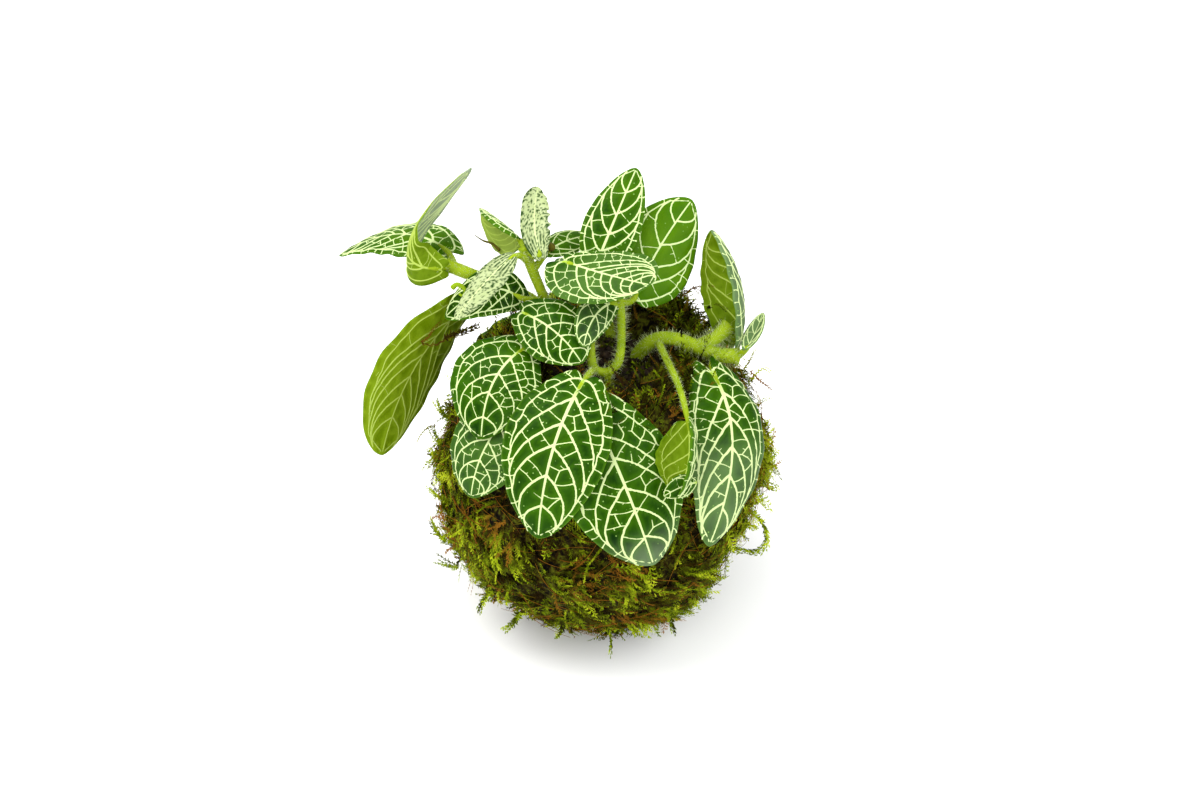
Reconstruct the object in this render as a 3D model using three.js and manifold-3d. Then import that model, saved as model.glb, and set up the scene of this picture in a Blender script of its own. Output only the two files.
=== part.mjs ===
// A white-veined nerve plant growing out of a ball of soil wrapped in living moss.
// Millimetres, +Z up. The origin is the centre of the small flat foot under the ball,
// and -Y is the front of the plant.
import * as THREE from 'three';
import { mergeVertices } from 'three/addons/utils/BufferGeometryUtils.js';
import Module from 'manifold-3d';

const wasm = await Module();
wasm.setup();

// Driving dimensions
const ballHeight = 47;        // height of the ball's centre above its foot
const mossRadius = 47;        // outside of the moss, before its clumps
const clumpCount = 170;
const clumpHeight = 3.2;      // how far a clump of moss rises
const clumpWidth = 0.18;       // radius of a clump, on a ball of radius 1
const clumpClearance = 9;     // a clump with a leaf closer than this stays low
const lowClump = 0.3;
const soilRadius = 42;
const fitGap = 0.3;           // clearance between neighbours
const crownRadius = 20;       // opening in the moss at the top
const crownFloor = 82;        // height of the soil inside that opening
const footRadius = 15;        // the flat foot that the ball stands on
const footHeight = 3;
const tuftCount = 100;
const tuftLength = 10;
const tuftRadius = 3;
const tuftRoot = 2;           // how deep a tuft is rooted below the moss surface
const tuftClearance = 7;      // free space that a leaf keeps from a tuft
const leafThickness = 0.7;
const stalkRadius = 0.9;      // the thin stalk that carries one leaf

const centre = new THREE.Vector3(0, 0, ballHeight);

const colours = {
  moss: { color: 0x5d6a1e, roughness: 0.95, metalness: 0 },
  soil: { color: 0x2a1d12, roughness: 1, metalness: 0 },
  stem: { color: 0x86a52e, roughness: 0.6, metalness: 0 },
  leaf: { color: 0x2f6f1e, roughness: 0.45, metalness: 0 },
  youngLeaf: { color: 0xb4cf8c, roughness: 0.5, metalness: 0 },
};

// Stems. Each is one or more runs that meet at a node, listed from the soil outwards.
const stems = {
  centre: {
    radius: 1.2,
    runs: [
      [[1, -7, 74], [1, -9, 82], [1, -10.5, 89]],
      [[1, -10.5, 89], [4, -8, 90.5], [5, -4.5, 93], [5, 1, 102], [4.2, 4.5, 108]],
      [[1, -10.5, 89], [-2.5, -11, 91], [-3.5, -8, 95.5], [-3.5, -3, 100], [-6, 1, 106], [-9, 4, 111]],
    ],
  },
  shoot: {
    radius: 1.3,
    runs: [[
      [-10, 3, 74], [-11, 4, 84], [-13, 5, 94],
      [-16.5, 7, 102], [-21, 11, 112.5], [-22.5, 12.5, 116.5],
    ]],
  },
  left: {
    radius: 1.5,
    runs: [[[-12, 9, 74], [-13, 10, 84], [-19, 12, 97], [-35.5, 15.5, 103.5], [-45, 18.5, 106]]],
  },
  right: {
    radius: 1.7,
    runs: [
      [[9, 5, 74], [10, 4.5, 84], [15.5, 3, 91], [21.5, 2, 91.5], [32, 0.5, 87.5], [38.5, 1.5, 86]],
      [[27, 1, 89.5], [32, 4, 90.5], [36, 7, 92.5]],
    ],
  },
  back: {
    radius: 1.4,
    runs: [
      [[3, 13, 74], [2, 14, 84], [0, 23, 92], [-3, 36, 87]],
      [[-1, 27, 91], [6, 34, 84], [15, 38, 77.5]],
      [[-1, 27, 91], [-7, 31.5, 87], [-15, 35, 82]],
    ],
  },
};

// Leaves. base, middle and tip are points on the midrib, faces is the direction that the
// upper side looks in at the base and at the tip, and joint is where the stalk meets the
// stem. curl bends both halves down from the midrib, fold creases them up along it, and
// wave ripples the edge.
const leaves = {
  front_left: {
    stem: 'centre', joint: [-2.5, -11, 91], width: 30.5,
    base: [-5.5, -22.5, 95.5], middle: [-14, -41, 85], tip: [-18, -49, 61],
    faces: [[-0.1, -0.5, 0.85], [-0.3, -0.95, 0.1]], curl: 0.3, wave: 0.5, lobes: 0.5,
  },
  front_right: {
    stem: 'centre', joint: [1, -9.5, 84.5], width: 34,
    base: [-3.5, -28, 89.5], middle: [6.5, -44, 74], tip: [14, -50.5, 52.5],
    faces: [[0.1, -0.6, 0.8], [0.3, -0.95, 0.15]], curl: 0.35, wave: 0.5,
  },
  left_upper: {
    stem: 'shoot', joint: [-12, 4.5, 90], width: 28,
    base: [-23, -9, 96], middle: [-31, -18.5, 91], tip: [-34, -27.5, 79],
    faces: [[-0.15, -0.5, 0.85], [-0.45, -0.85, 0.25]], curl: 0.35, wave: 0.4,
  },
  left_lower: {
    stem: 'centre', joint: [1, -8, 79.5], width: 24,
    base: [-26, -22.5, 84], middle: [-33.5, -29, 75.5], tip: [-37, -35, 64],
    faces: [[-0.3, -0.6, 0.7], [-0.6, -0.8, 0.2]], curl: 0.3, wave: 0.4,
  },
  middle_shaded: {
    stem: 'shoot', joint: [-13, 5, 94], width: 19,
    base: [-22.5, -1.5, 103.5], middle: [-13, -9, 102], tip: [-6, -15, 96],
    faces: [[0, -0.5, 0.85], [0.1, -0.7, 0.6]], curl: 0.2, wave: 0.3,
  },
  left_shaded: {
    stem: 'shoot', joint: [-16.5, 7, 102], width: 16,
    base: [-24, 6, 103.5], middle: [-33.5, 6.5, 105.5], tip: [-45, 6.5, 96],
    faces: [[-0.1, -0.4, 0.9], [-0.4, -0.4, 0.8]], curl: 0.3, wave: 0.3,
  },
  young_low: {
    stem: 'shoot', joint: [-21, 11, 112.5], width: 9, young: true,
    base: [-25.5, 4.5, 118.5], middle: [-32.5, 0, 113.5], tip: [-41.5, -5, 104],
    faces: [[-0.3, -0.5, 0.8], [-0.5, -0.6, 0.6]], curl: 0.3, wave: 0.3, lobes: 0.3,
  },
  young_upright: {
    stem: 'shoot', joint: [-22, 12, 115], width: 8.5, young: true,
    base: [-17.5, 9, 115.5], middle: [-19.5, 17.5, 121.5], tip: [-18.5, 27, 127],
    faces: [[0.1, -0.9, 0.4], [0.3, -0.9, 0.3]], curl: -0.3, wave: 0.5, lobes: 0.4,
  },
  top_left: {
    stem: 'shoot', joint: [-22, 12, 115], width: 15.5,
    base: [-23.5, 15.5, 116.5], middle: [-28, 21.5, 116.5], tip: [-35, 30.5, 117],
    faces: [[0.81, 0.55, 0.17], [0.81, 0.55, 0.17]], curl: 1.4, wave: 0.2, lobes: 0.2,
  },
  top_small: {
    stem: 'shoot', joint: [-19.8, 10.1, 110], width: 9,
    base: [-15.5, 14.5, 113.5], middle: [-10, 20.5, 113], tip: [-3.5, 26.5, 110.5],
    faces: [[0, -0.4, 0.9], [0, -0.4, 0.9]], curl: 0.3, wave: 0.2,
  },
  top_middle: {
    stem: 'centre', joint: [-9, 4, 111], width: 22,
    base: [-10.5, 5, 116.5], middle: [1.5, -1.5, 116.5], tip: [13, -5.5, 116],
    faces: [[0, -0.35, 0.93], [0, -0.35, 0.93]], curl: 0.3, wave: 0.3, slant: 0.6,
  },
  top_upright: {
    stem: 'centre', joint: [4.3, 4.2, 107], width: 16.5,
    base: [-1.5, 9.5, 113.5], middle: [3, 17.5, 121.5], tip: [9.5, 32, 130],
    faces: [[-0.1, -0.8, 0.6], [-0.1, -0.8, 0.6]], curl: 0.2, wave: 0.3,
  },
  right_broad: {
    stem: 'centre', joint: [4.7, 2.4, 104.2], width: 25,
    base: [9, 6.5, 102.5], middle: [15, 17.5, 110.5], tip: [25.5, 33, 118.5],
    faces: [[0.3, -0.7, 0.7], [0.3, -0.7, 0.7]], curl: 0.25, wave: 0.3, lobes: 0.3,
  },
  middle_low: {
    stem: 'centre', joint: [5, 0.5, 101], width: 10.5,
    base: [3, 1, 105.5], middle: [-2.5, -5.5, 105], tip: [-5.5, -13.5, 100.5],
    faces: [[0.2, -0.6, 0.7], [0.2, -0.8, 0.5]], curl: 0.35, wave: 0.2,
  },
  right_back: {
    stem: 'right', joint: [35.3, 6.5, 92.1], width: 23,
    base: [38.5, 7.5, 87], middle: [38, 16, 101], tip: [31, 27, 112],
    faces: [[0.8, 0.5, -0.2], [0.8, 0.5, -0.2]], curl: 1.5, wave: 0.3,
  },
  right_small: {
    stem: 'right', joint: [38.5, 1.5, 86], width: 6,
    base: [41, 0, 90], middle: [43.5, 5.5, 91], tip: [46, 11.5, 94],
    faces: [[-0.5, -0.7, 0.5], [-0.5, -0.7, 0.5]], fold: 0.4, wave: 0.2,
  },
  front_far_right: {
    stem: 'right', joint: [32, 0.5, 87.5], width: 25,
    base: [31, -11, 89], middle: [36, -30, 77], tip: [29.5, -45.5, 55],
    faces: [[0.25, -0.4, 0.9], [0.4, -0.85, 0.2]], curl: 0.7, wave: 0.5,
  },
  folded: {
    stem: 'right', joint: [15.5, 3, 91], width: 21,
    base: [23.5, -32, 88.5], middle: [23.5, -40.5, 80.5], tip: [20, -46, 73],
    faces: [[0.8, 0.35, -0.48], [0.8, 0.35, -0.48]], curl: 1.3, wave: 0.3, lobes: 0.3,
  },
  far_left_flat: {
    stem: 'left', joint: [-42.5, 17.8, 105.4], width: 19,
    base: [-45, 27, 105], middle: [-60, 36.5, 104], tip: [-77.5, 38, 95.5],
    faces: [[0, -0.25, 1], [0, 0.35, 0.93]], curl: 0.3, wave: 0.4,
  },
  far_left_cupped: {
    stem: 'left', joint: [-44.4, 18.3, 105.9], width: 17.5,
    base: [-46, 14.2, 107.5], middle: [-55.3, 20.5, 112.2], tip: [-38, 42, 123.5],
    faces: [[0.35, 0.75, -0.1], [2.3, -2, -1.1]], curl: -0.4, wave: 0.3, lobes: 0.4,
  },
  left_hanging: {
    stem: 'left', joint: [-35.5, 15.5, 103.5], width: 29.5,
    base: [-39, 16.5, 94], middle: [-55, 6, 77.5], tip: [-64.5, -4.5, 54.5],
    faces: [[-0.2, 0.8, 0.6], [-0.5, 0.8, 0.2]], curl: -0.25, wave: 0.25,
  },
  back_upper: {
    stem: 'back', joint: [0, 23, 92], width: 20,
    base: [-3, 29, 93], middle: [-5, 39, 94], tip: [-7, 50, 86],
    faces: [[0, -0.1, 1], [0, 0.5, 0.85]], curl: 0.3, wave: 0.4,
  },
  back_middle: {
    stem: 'back', joint: [-2.4, 34, 87.5], width: 27,
    base: [-2, 41, 83], middle: [-3, 49, 71], tip: [-5, 51, 50],
    faces: [[0, 0.6, 0.8], [-0.1, 1, 0.1]], curl: 0.35, wave: 0.5,
  },
  back_right: {
    stem: 'back', joint: [13.6, 37.3, 78.3], width: 24,
    base: [21, 40, 71], middle: [30, 43, 58], tip: [31.5, 43, 41],
    faces: [[0.4, 0.7, 0.6], [0.55, 0.8, 0.1]], curl: 0.35, wave: 0.5,
  },
  back_left: {
    stem: 'back', joint: [-13.6, 34.4, 82.7], width: 24,
    base: [-20, 38.5, 76], middle: [-31, 41, 65], tip: [-38, 38.5, 48],
    faces: [[-0.4, 0.7, 0.6], [-0.6, 0.75, 0.1]], curl: 0.35, wave: 0.5,
  },
};

// One closed body from a geometry, with only its positions kept.
function solid(geometry) {
  const bare = geometry.clone();
  bare.deleteAttribute('normal');
  bare.deleteAttribute('uv');
  const merged = mergeVertices(bare, 1e-4);
  return new wasm.Manifold(new wasm.Mesh({
    numProp: 3,
    vertProperties: new Float32Array(merged.attributes.position.array),
    triVerts: new Uint32Array(merged.index.array),
  }));
}

function vector(list) {
  return new THREE.Vector3(...list);
}

// A round rod along a smooth run of points.
function rod(points, radius, sides, stepLength) {
  const run = new THREE.CatmullRomCurve3(points.map(vector), false, 'centripetal');
  const outline = new THREE.Shape();
  outline.absarc(0, 0, radius, 0, Math.PI * 2);
  return solid(new THREE.ExtrudeGeometry(outline, {
    extrudePath: run,
    steps: Math.max(2, Math.round(run.getLength() / stepLength)),
    curveSegments: sides / 2,
  }));
}

function fuse(solids) {
  return solids.reduce((whole, piece) => whole.add(piece));
}

// The largest body of a solid, so that no loose scrap is left by a cut.
function largestBody(body) {
  return body.decompose().reduce((best, next) => (next.volume() > best.volume() ? next : best));
}

// Stems
const stemSides = 8;
const stemStep = 3.5;         // one ring of the rod for each of these lengths
const stalkSides = 6;
const stalkStep = 5;

function stemSolid(stem, clearance) {
  const radius = stem.radius + clearance;
  return fuse(stem.runs.map((points) => rod(points, radius, stemSides, stemStep)));
}

// Leaves
const rowLength = 5.5;        // a row of the blade for each of these lengths of midrib
const fewestRows = 5;
const mostRows = 9;
const narrowLeaf = 15;        // below this width a leaf has fewer columns
const outlineStart = 0.03;    // the outline is a sine between these two shares of its arch
const outlineEnd = 0.988;
const outlineShift = 0.9;     // below 1, the widest place moves towards the base
const outlineFullness = 0.55; // below 1, the sides are fuller
const lobeDepth = 0.12;       // how far the base lobes reach back, as a share of the length
const lobeSpread = 0.75;      // where across the half blade a lobe reaches furthest back
const waveCount = 5;
const waveDepth = 1 / 12;     // height of a wave, as a share of the half width
const sampleStep = 0.01;
const stalkStart = 0.1;       // where on the midrib the stalk begins
const stalkReach = 0.35;      // how straight the stalk leaves both of its ends

function midrib(leaf) {
  const [base, middle, tip] = [leaf.base, leaf.middle, leaf.tip].map(vector);
  const control = middle.clone().multiplyScalar(2).sub(base.clone().add(tip).multiplyScalar(0.5));
  return new THREE.QuadraticBezierCurve3(base, control, tip);
}

// A point of the blade: u runs from the base to the tip, v from one edge (-1) to the other (1).
function bladePoint(leaf, u, v) {
  const rib = midrib(leaf);
  const along = rib.getTangent(THREE.MathUtils.clamp(u, 0, 1));
  const facing = vector(leaf.faces[0]).lerp(vector(leaf.faces[1]), u);
  const across = new THREE.Vector3().crossVectors(along, facing).normalize();
  const up = new THREE.Vector3().crossVectors(across, along);
  const share = outlineStart + (outlineEnd - outlineStart) * u;
  const half = (leaf.width / 2) * Math.sin(Math.PI * share ** outlineShift) ** outlineFullness;
  const curl = leaf.curl || 0.001;
  const fold = leaf.fold || 0;
  const side = (half * Math.sin(curl * v)) / curl * Math.sqrt(1 - fold * fold);
  const ripple = leaf.wave * Math.abs(v) ** 3 * Math.sin(Math.PI * 2 * waveCount * u + Math.sign(v));
  const rise = fold * Math.abs(v) - (1 - Math.cos(curl * v)) / curl + ripple * waveDepth;
  const lobe = lobeDepth * (leaf.lobes || 1) * rib.getLength();
  const back = lobe * Math.sin(lobeSpread * Math.PI * Math.abs(v)) * (1 - u) ** 4
    + (leaf.slant || 0) * half * v;
  return rib.getPoint(u)
    .addScaledVector(across, side)
    .addScaledVector(up, rise * half)
    .addScaledVector(along, -back);
}

function bladeNormal(leaf, u, v) {
  const alongStep = bladePoint(leaf, u + sampleStep, v).sub(bladePoint(leaf, u - sampleStep, v));
  const acrossStep = bladePoint(leaf, u, v + sampleStep).sub(bladePoint(leaf, u, v - sampleStep));
  return acrossStep.cross(alongStep).normalize();
}

// The blade is a closed box of rows and columns, whose six sides are bent to the leaf's form.
function bladeSolid(leaf) {
  const rows = Math.round(midrib(leaf).getLength() / rowLength);
  const columns = leaf.width < narrowLeaf ? 4 : 6;
  const box = new THREE.BoxGeometry(
    2, 1, 1, columns, THREE.MathUtils.clamp(rows, fewestRows, mostRows), 1,
  );
  const place = box.attributes.position;
  for (let i = 0; i < place.count; i += 1) {
    const u = (1 - Math.cos(Math.PI * (place.getY(i) + 0.5))) / 2;
    const v = place.getX(i);
    const inside = THREE.MathUtils.clamp(u, sampleStep, 1 - sampleStep);
    const point = bladePoint(leaf, u, v)
      .addScaledVector(bladeNormal(leaf, inside, v), place.getZ(i) * leafThickness);
    place.setXYZ(i, point.x, point.y, point.z);
  }
  return solid(box);
}

// The stalk leaves the blade in line with the midrib and runs to the middle of the stem.
function stalkSolid(leaf, clearance) {
  const start = bladePoint(leaf, stalkStart, 0);
  const base = vector(leaf.base);
  const joint = vector(leaf.joint);
  const reach = base.distanceTo(joint) * stalkReach;
  const stalk = new THREE.CubicBezierCurve3(
    start,
    base.clone().addScaledVector(midrib(leaf).getTangent(0), -reach),
    joint.clone().lerp(base, stalkReach),
    joint,
  );
  const points = stalk.getPoints(4).map((point) => point.toArray());
  return rod(points, stalkRadius + clearance, stalkSides, stalkStep);
}

// A leaf is trimmed a gap short of its stem.
function leafSolid(leaf) {
  const whole = bladeSolid(leaf).add(stalkSolid(leaf, 0));
  return largestBody(whole.subtract(stemSolid(stems[leaf.stem], fitGap)));
}

// Moss and soil
const mossGrid = [56, 36];    // faces around and down the ball of moss
const soilGrid = [20, 14];
const goldenAngle = Math.PI * (3 - Math.sqrt(5));
const highestTuft = 0.86;     // heights on a ball of radius 1
const lowestTuft = -0.95;
const tuftBend = 0.3;         // how far a tip bends over, as a share of the length
const tuftDroop = 0.8;        // how much a tuft at the ball's waist hangs down
const straying = 0.3;         // how far clumps and tufts stray from even places, in radians
const crownStep = 6;          // height of the sloping rim at the bottom of the opening
const farAbove = ballHeight + mossRadius + 20;
const down = new THREE.Vector3(0, 0, -1);

// The same run of numbers from 0 to 1 each time.
function random(seed) {
  let state = seed;
  return () => {
    state = (state * 1664525 + 1013904223) % 2 ** 32;
    return state / 2 ** 32;
  };
}

// Directions spread evenly over a band of a ball, each a little off its place.
function spread(count, highest, lowest, draw) {
  return Array.from({ length: count }, (empty, i) => {
    const height = highest - ((highest - lowest) * (i + 0.5)) / count;
    const angle = i * goldenAngle + draw() * straying;
    const flat = Math.sqrt(1 - height * height);
    return new THREE.Vector3(flat * Math.cos(angle), flat * Math.sin(angle), height);
  });
}

// Places on every blade, which the clumps and tufts keep clear of.
const leafPlaces = Object.values(leaves).flatMap((leaf) =>
  [0, 0.2, 0.4, 0.6, 0.8, 1].flatMap((u) =>
    [-1, -0.5, 0, 0.5, 1].map((v) => bladePoint(leaf, u, v))));

function isClear(point, clearance) {
  return leafPlaces.every((place) => place.distanceTo(point) > clearance);
}

// A clump under a leaf is lower than the others.
const clumpDraw = random(3);
const clumps = spread(clumpCount, 0.95, -0.95, clumpDraw).map((direction) => {
  const top = centre.clone().addScaledVector(direction, mossRadius + clumpHeight);
  const size = 0.5 + 0.5 * clumpDraw();
  return { direction, size: isClear(top, clumpClearance) ? size : lowClump };
});

// The moss is a coat of round clumps, with a crease wherever two of them meet.
function reliefAt(direction) {
  const heights = clumps.map((clump) =>
    clump.size - (clump.direction.distanceTo(direction) / clumpWidth) ** 2);
  return clumpHeight * Math.max(0, ...heights);
}

function smooth() {
  return 0;
}

function ball(radius, [around, downwards], relief) {
  const shape = new THREE.SphereGeometry(1, around, downwards);
  shape.rotateX(Math.PI / 2);
  const place = shape.attributes.position;
  for (let i = 0; i < place.count; i += 1) {
    const direction = new THREE.Vector3().fromBufferAttribute(place, i).normalize();
    const reach = radius + relief(direction);
    place.setXYZ(i, ...direction.multiplyScalar(reach).toArray());
  }
  shape.translate(0, 0, ballHeight);
  return solid(shape);
}

// A round body from the pairs of radius and height of its outline.
function turned(profile, sides) {
  const outline = profile.map(([radius, height]) => new THREE.Vector2(radius, height));
  const shape = new THREE.LatheGeometry(outline, sides);
  shape.rotateX(Math.PI / 2);
  return solid(shape);
}

// The opening in the moss, wider towards the top.
function crownSolid(radius, bottom) {
  return turned([
    [0, bottom], [radius * 0.8, bottom], [radius, bottom + crownStep],
    [radius * 1.25, farAbove], [0, farAbove],
  ], 20);
}

// The moss is pressed flat where the ball stands.
function footSolid() {
  return turned([[0, 0], [footRadius, 0], [footRadius + 4, footHeight], [0, footHeight * 3]], 24);
}

function allStems(clearance) {
  return fuse(Object.values(stems).map((stem) => stemSolid(stem, clearance)));
}

function allStalks(clearance) {
  return fuse(Object.values(leaves).map((leaf) => stalkSolid(leaf, clearance)));
}

// The stems stand in plain holes in the soil.
function soilSolid(radius, top) {
  return ball(radius, soilGrid, smooth)
    .subtract(turned([[0, top], [radius, top], [radius, farAbove], [0, farAbove]], 4))
    .subtract(allStems(fitGap))
    .subtract(allStalks(fitGap));
}

// A tuft is a three-sided spike that bends over as it leaves the ball.
function tuftSolid(root, direction, length) {
  const spike = new THREE.ConeGeometry(tuftRadius, length, 3, 2);
  spike.translate(0, length / 2, 0);
  const place = spike.attributes.position;
  for (let i = 0; i < place.count; i += 1) {
    const share = place.getY(i) / length;
    place.setX(i, place.getX(i) + share * share * length * tuftBend);
  }
  const side = new THREE.Vector3().crossVectors(direction, down).normalize();
  const bend = new THREE.Vector3().crossVectors(side, direction).normalize();
  spike.applyMatrix4(new THREE.Matrix4().makeBasis(bend, direction, side.negate()));
  spike.translate(root.x, root.y, root.z);
  return solid(spike);
}

// Tufts hang downwards and are left out under leaves.
function tuftSolids() {
  const draw = random(7);
  const tufts = [];
  for (const out of spread(tuftCount, highestTuft, lowestTuft, draw)) {
    const flat = Math.hypot(out.x, out.y);
    const lean = new THREE.Vector3(draw() - 0.5, draw() - 0.5, draw() / -2).add(down);
    const direction = out.clone().addScaledVector(lean, tuftDroop * flat).normalize();
    const length = tuftLength * (0.75 + 0.5 * draw());
    const root = centre.clone().addScaledVector(out, mossRadius - tuftRoot);
    const end = root.clone().addScaledVector(direction, length);
    if (isClear(end, tuftClearance)) {
      tufts.push(tuftSolid(root, direction, length));
    }
  }
  return tufts;
}

function mossSolid() {
  const ground = turned([[0, -50], [300, -50], [300, 0], [0, 0]], 4);
  const whole = fuse([ball(mossRadius, mossGrid, reliefAt), footSolid(), ...tuftSolids()])
    .subtract(ground)
    .subtract(ball(soilRadius + fitGap, soilGrid, smooth))
    .subtract(crownSolid(crownRadius, crownFloor - crownStep))
    .subtract(allStems(fitGap))
    .subtract(allStalks(fitGap));
  return largestBody(whole);
}

// The finished part
const plant = new THREE.Group();

function addPiece(name, body, finish) {
  const mesh = body.getMesh();
  const geometry = new THREE.BufferGeometry();
  geometry.setAttribute('position', new THREE.BufferAttribute(mesh.vertProperties, 3));
  geometry.setIndex(new THREE.BufferAttribute(mesh.triVerts, 1));
  geometry.computeVertexNormals();
  const piece = new THREE.Mesh(geometry, new THREE.MeshStandardMaterial(finish));
  piece.name = name;
  plant.add(piece);
}

addPiece('moss_coat', mossSolid(), colours.moss);
addPiece('soil_ball', soilSolid(soilRadius, crownFloor), colours.soil);
for (const [name, stem] of Object.entries(stems)) {
  addPiece(`stem_${name}`, stemSolid(stem, 0), colours.stem);
}
for (const [name, leaf] of Object.entries(leaves)) {
  addPiece(`leaf_${name}`, leafSolid(leaf), leaf.young ? colours.youngLeaf : colours.leaf);
}

export default plant;
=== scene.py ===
# %% [markdown]
# # A moss ball with a white-veined plant
# A kokedama is a ball of soil wrapped in living moss, with a small plant growing out of
# its top. The measured model is loaded first and stays where it is. Every piece made here
# is a finer one that takes the place of a plain solid and keeps its form.

# %% Load the measured model
import bmesh
import bpy
import math
import random
import numpy as np
from mathutils import Matrix, Vector, geometry, kdtree, noise


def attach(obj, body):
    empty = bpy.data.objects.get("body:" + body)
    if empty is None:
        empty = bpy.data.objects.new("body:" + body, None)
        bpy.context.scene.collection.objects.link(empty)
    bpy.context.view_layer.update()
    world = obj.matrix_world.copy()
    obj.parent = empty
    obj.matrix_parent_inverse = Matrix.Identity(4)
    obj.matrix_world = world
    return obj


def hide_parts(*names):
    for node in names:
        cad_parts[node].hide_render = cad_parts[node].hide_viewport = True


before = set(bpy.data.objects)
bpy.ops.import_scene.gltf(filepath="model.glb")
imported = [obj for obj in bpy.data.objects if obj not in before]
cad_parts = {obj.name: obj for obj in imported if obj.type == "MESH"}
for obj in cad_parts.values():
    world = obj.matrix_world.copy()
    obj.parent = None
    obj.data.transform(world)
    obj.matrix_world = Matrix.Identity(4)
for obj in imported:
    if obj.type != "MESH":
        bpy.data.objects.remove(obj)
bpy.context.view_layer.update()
MM = 0.001  # leaves, stems and moss are given in millimetres


# %% [markdown]
# ## Camera, floor and light
# The photo looks down on the ball at about 38 degrees through a long lens, so that the
# sides of the ball stay round. A big soft lamp from the upper left gives the pale shadow
# on the right, and a bright even sky keeps the floor nearly white.

# %% Camera
EYE = Vector((-0.000882, -0.644906, 0.575116))
AIM = Vector((-0.000882, 0.011770, 0.062065))

lens = bpy.data.cameras.new("photo_lens")
lens.lens = 85
lens.sensor_width = 36
lens.clip_start = 0.01
camera = bpy.data.objects.new("camera", lens)
camera.location = EYE
camera.rotation_euler = (AIM - EYE).to_track_quat("-Z", "Y").to_euler()
bpy.context.scene.collection.objects.link(camera)
bpy.context.scene.camera = camera
print("camera at", [round(c, 3) for c in EYE])


# %% Floor paint
def new_material(name):
    """An empty material, its node tree and its output node."""
    material = bpy.data.materials.new(name)
    material.use_nodes = True
    tree = material.node_tree
    tree.nodes.clear()
    output = tree.nodes.new("ShaderNodeOutputMaterial")
    return material, tree, output


def node(tree, kind, inputs=None, **settings):
    """One node, with its settings, and with plain values or links for its inputs."""
    made = tree.nodes.new("ShaderNode" + kind)
    for key, value in settings.items():
        setattr(made, key, value)
    for key, value in (inputs or {}).items():
        if isinstance(value, bpy.types.NodeSocket):
            tree.links.new(value, made.inputs[key])
        else:
            made.inputs[key].default_value = value
    return made


def remap(tree, value, low, high, start=0.0, end=1.0):
    """A value from start to end, stretched so that it runs from low to high."""
    made = node(tree, "MapRange", {"Value": value, "From Min": start, "From Max": end,
                                   "To Min": low, "To Max": high})
    return made.outputs["Result"]


floor_paint, tree, output = new_material("floor_paint")
grain = node(tree, "TexNoise", {"Scale": 40.0, "Detail": 3.0})
tint = remap(tree, grain.outputs["Fac"], 0.95, 0.97)
paint = node(tree, "BsdfPrincipled", {"Base Color": tint, "Roughness": 0.7})
tree.links.new(paint.outputs["BSDF"], output.inputs["Surface"])
print("floor paint,", len(tree.nodes), "nodes")


# %% Floor
bm = bmesh.new()
bmesh.ops.create_grid(bm, x_segments=1, y_segments=1, size=3)
floor_mesh = bpy.data.meshes.new("floor")
bm.to_mesh(floor_mesh)
bm.free()
floor_mesh.materials.append(floor_paint)
floor = bpy.data.objects.new("floor", floor_mesh)
bpy.context.scene.collection.objects.link(floor)
print("floor", len(floor_mesh.polygons), "face")


# %% Lamps
def soft_lamp(name, place, size, power, colour):
    """A square lamp that looks at the middle of the plant."""
    lamp = bpy.data.lights.new(name, "AREA")
    lamp.shape = "SQUARE"
    lamp.size = size
    lamp.energy = power
    lamp.color = colour
    holder = bpy.data.objects.new(name, lamp)
    holder.location = place
    holder.rotation_euler = (AIM - Vector(place)).to_track_quat("-Z", "Y").to_euler()
    bpy.context.scene.collection.objects.link(holder)


soft_lamp("key_lamp", (-0.45, 0.05, 1.00), 0.9, 11, (1.0, 0.99, 0.96))
soft_lamp("fill_lamp", (0.80, -0.40, 0.80), 0.9, 8, (0.97, 0.99, 1.0))
soft_lamp("front_lamp", (-0.45, -1.0, 0.55), 0.7, 5, (1.0, 1.0, 0.98))

sky = bpy.data.worlds.new("sky")
sky.use_nodes = True
sky.node_tree.nodes["Background"].inputs["Color"].default_value = (1.0, 1.0, 1.0, 1.0)
sky.node_tree.nodes["Background"].inputs["Strength"].default_value = 0.95
bpy.context.scene.world = sky
bpy.context.scene.view_settings.view_transform = "Standard"
print("3 lamps and an even sky")


# %% [markdown]
# ## The places of the leaves
# Each leaf is a curved sheet. Three points give its midrib, two directions say where its
# upper side looks at the base and at the tip, and a few numbers bend, fold and ripple it.
# They are the measured model's own numbers, in millimetres, so that every finer leaf
# lies exactly where the plain one is.
# The words after them belong to single leaves. Lobes, fold, slant and crinkle change the
# form a little. Tone is how light the green is, and below zero it is painted shade for
# leaves that lie in the shade of others. Sheen is a painted reflection, a pale grey-green
# laid on where a glossy leaf shines, with its amount and from where on. Shade is painted
# shade on the underside, and pale makes the underside paler. Sides, rise and cells set the
# number and slope of the side veins and the size of the net, and net_below shows the net on
# the underside too. The folded leaf has a flap, the part of its edge that is turned over.

# %% Leaves in front
def leaf_row(width, joint, base, middle, tip, base_faces, tip_faces, curl, wave, **more):
    """The measures of one leaf. Joint is where its stalk meets the stem. The upper side
    looks along base_faces at the base and along tip_faces at the tip."""
    return {"width": width, "joint": joint, "base": base, "middle": middle, "tip": tip,
            "faces": (base_faces, tip_faces), "curl": curl, "wave": wave, **more}


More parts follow.
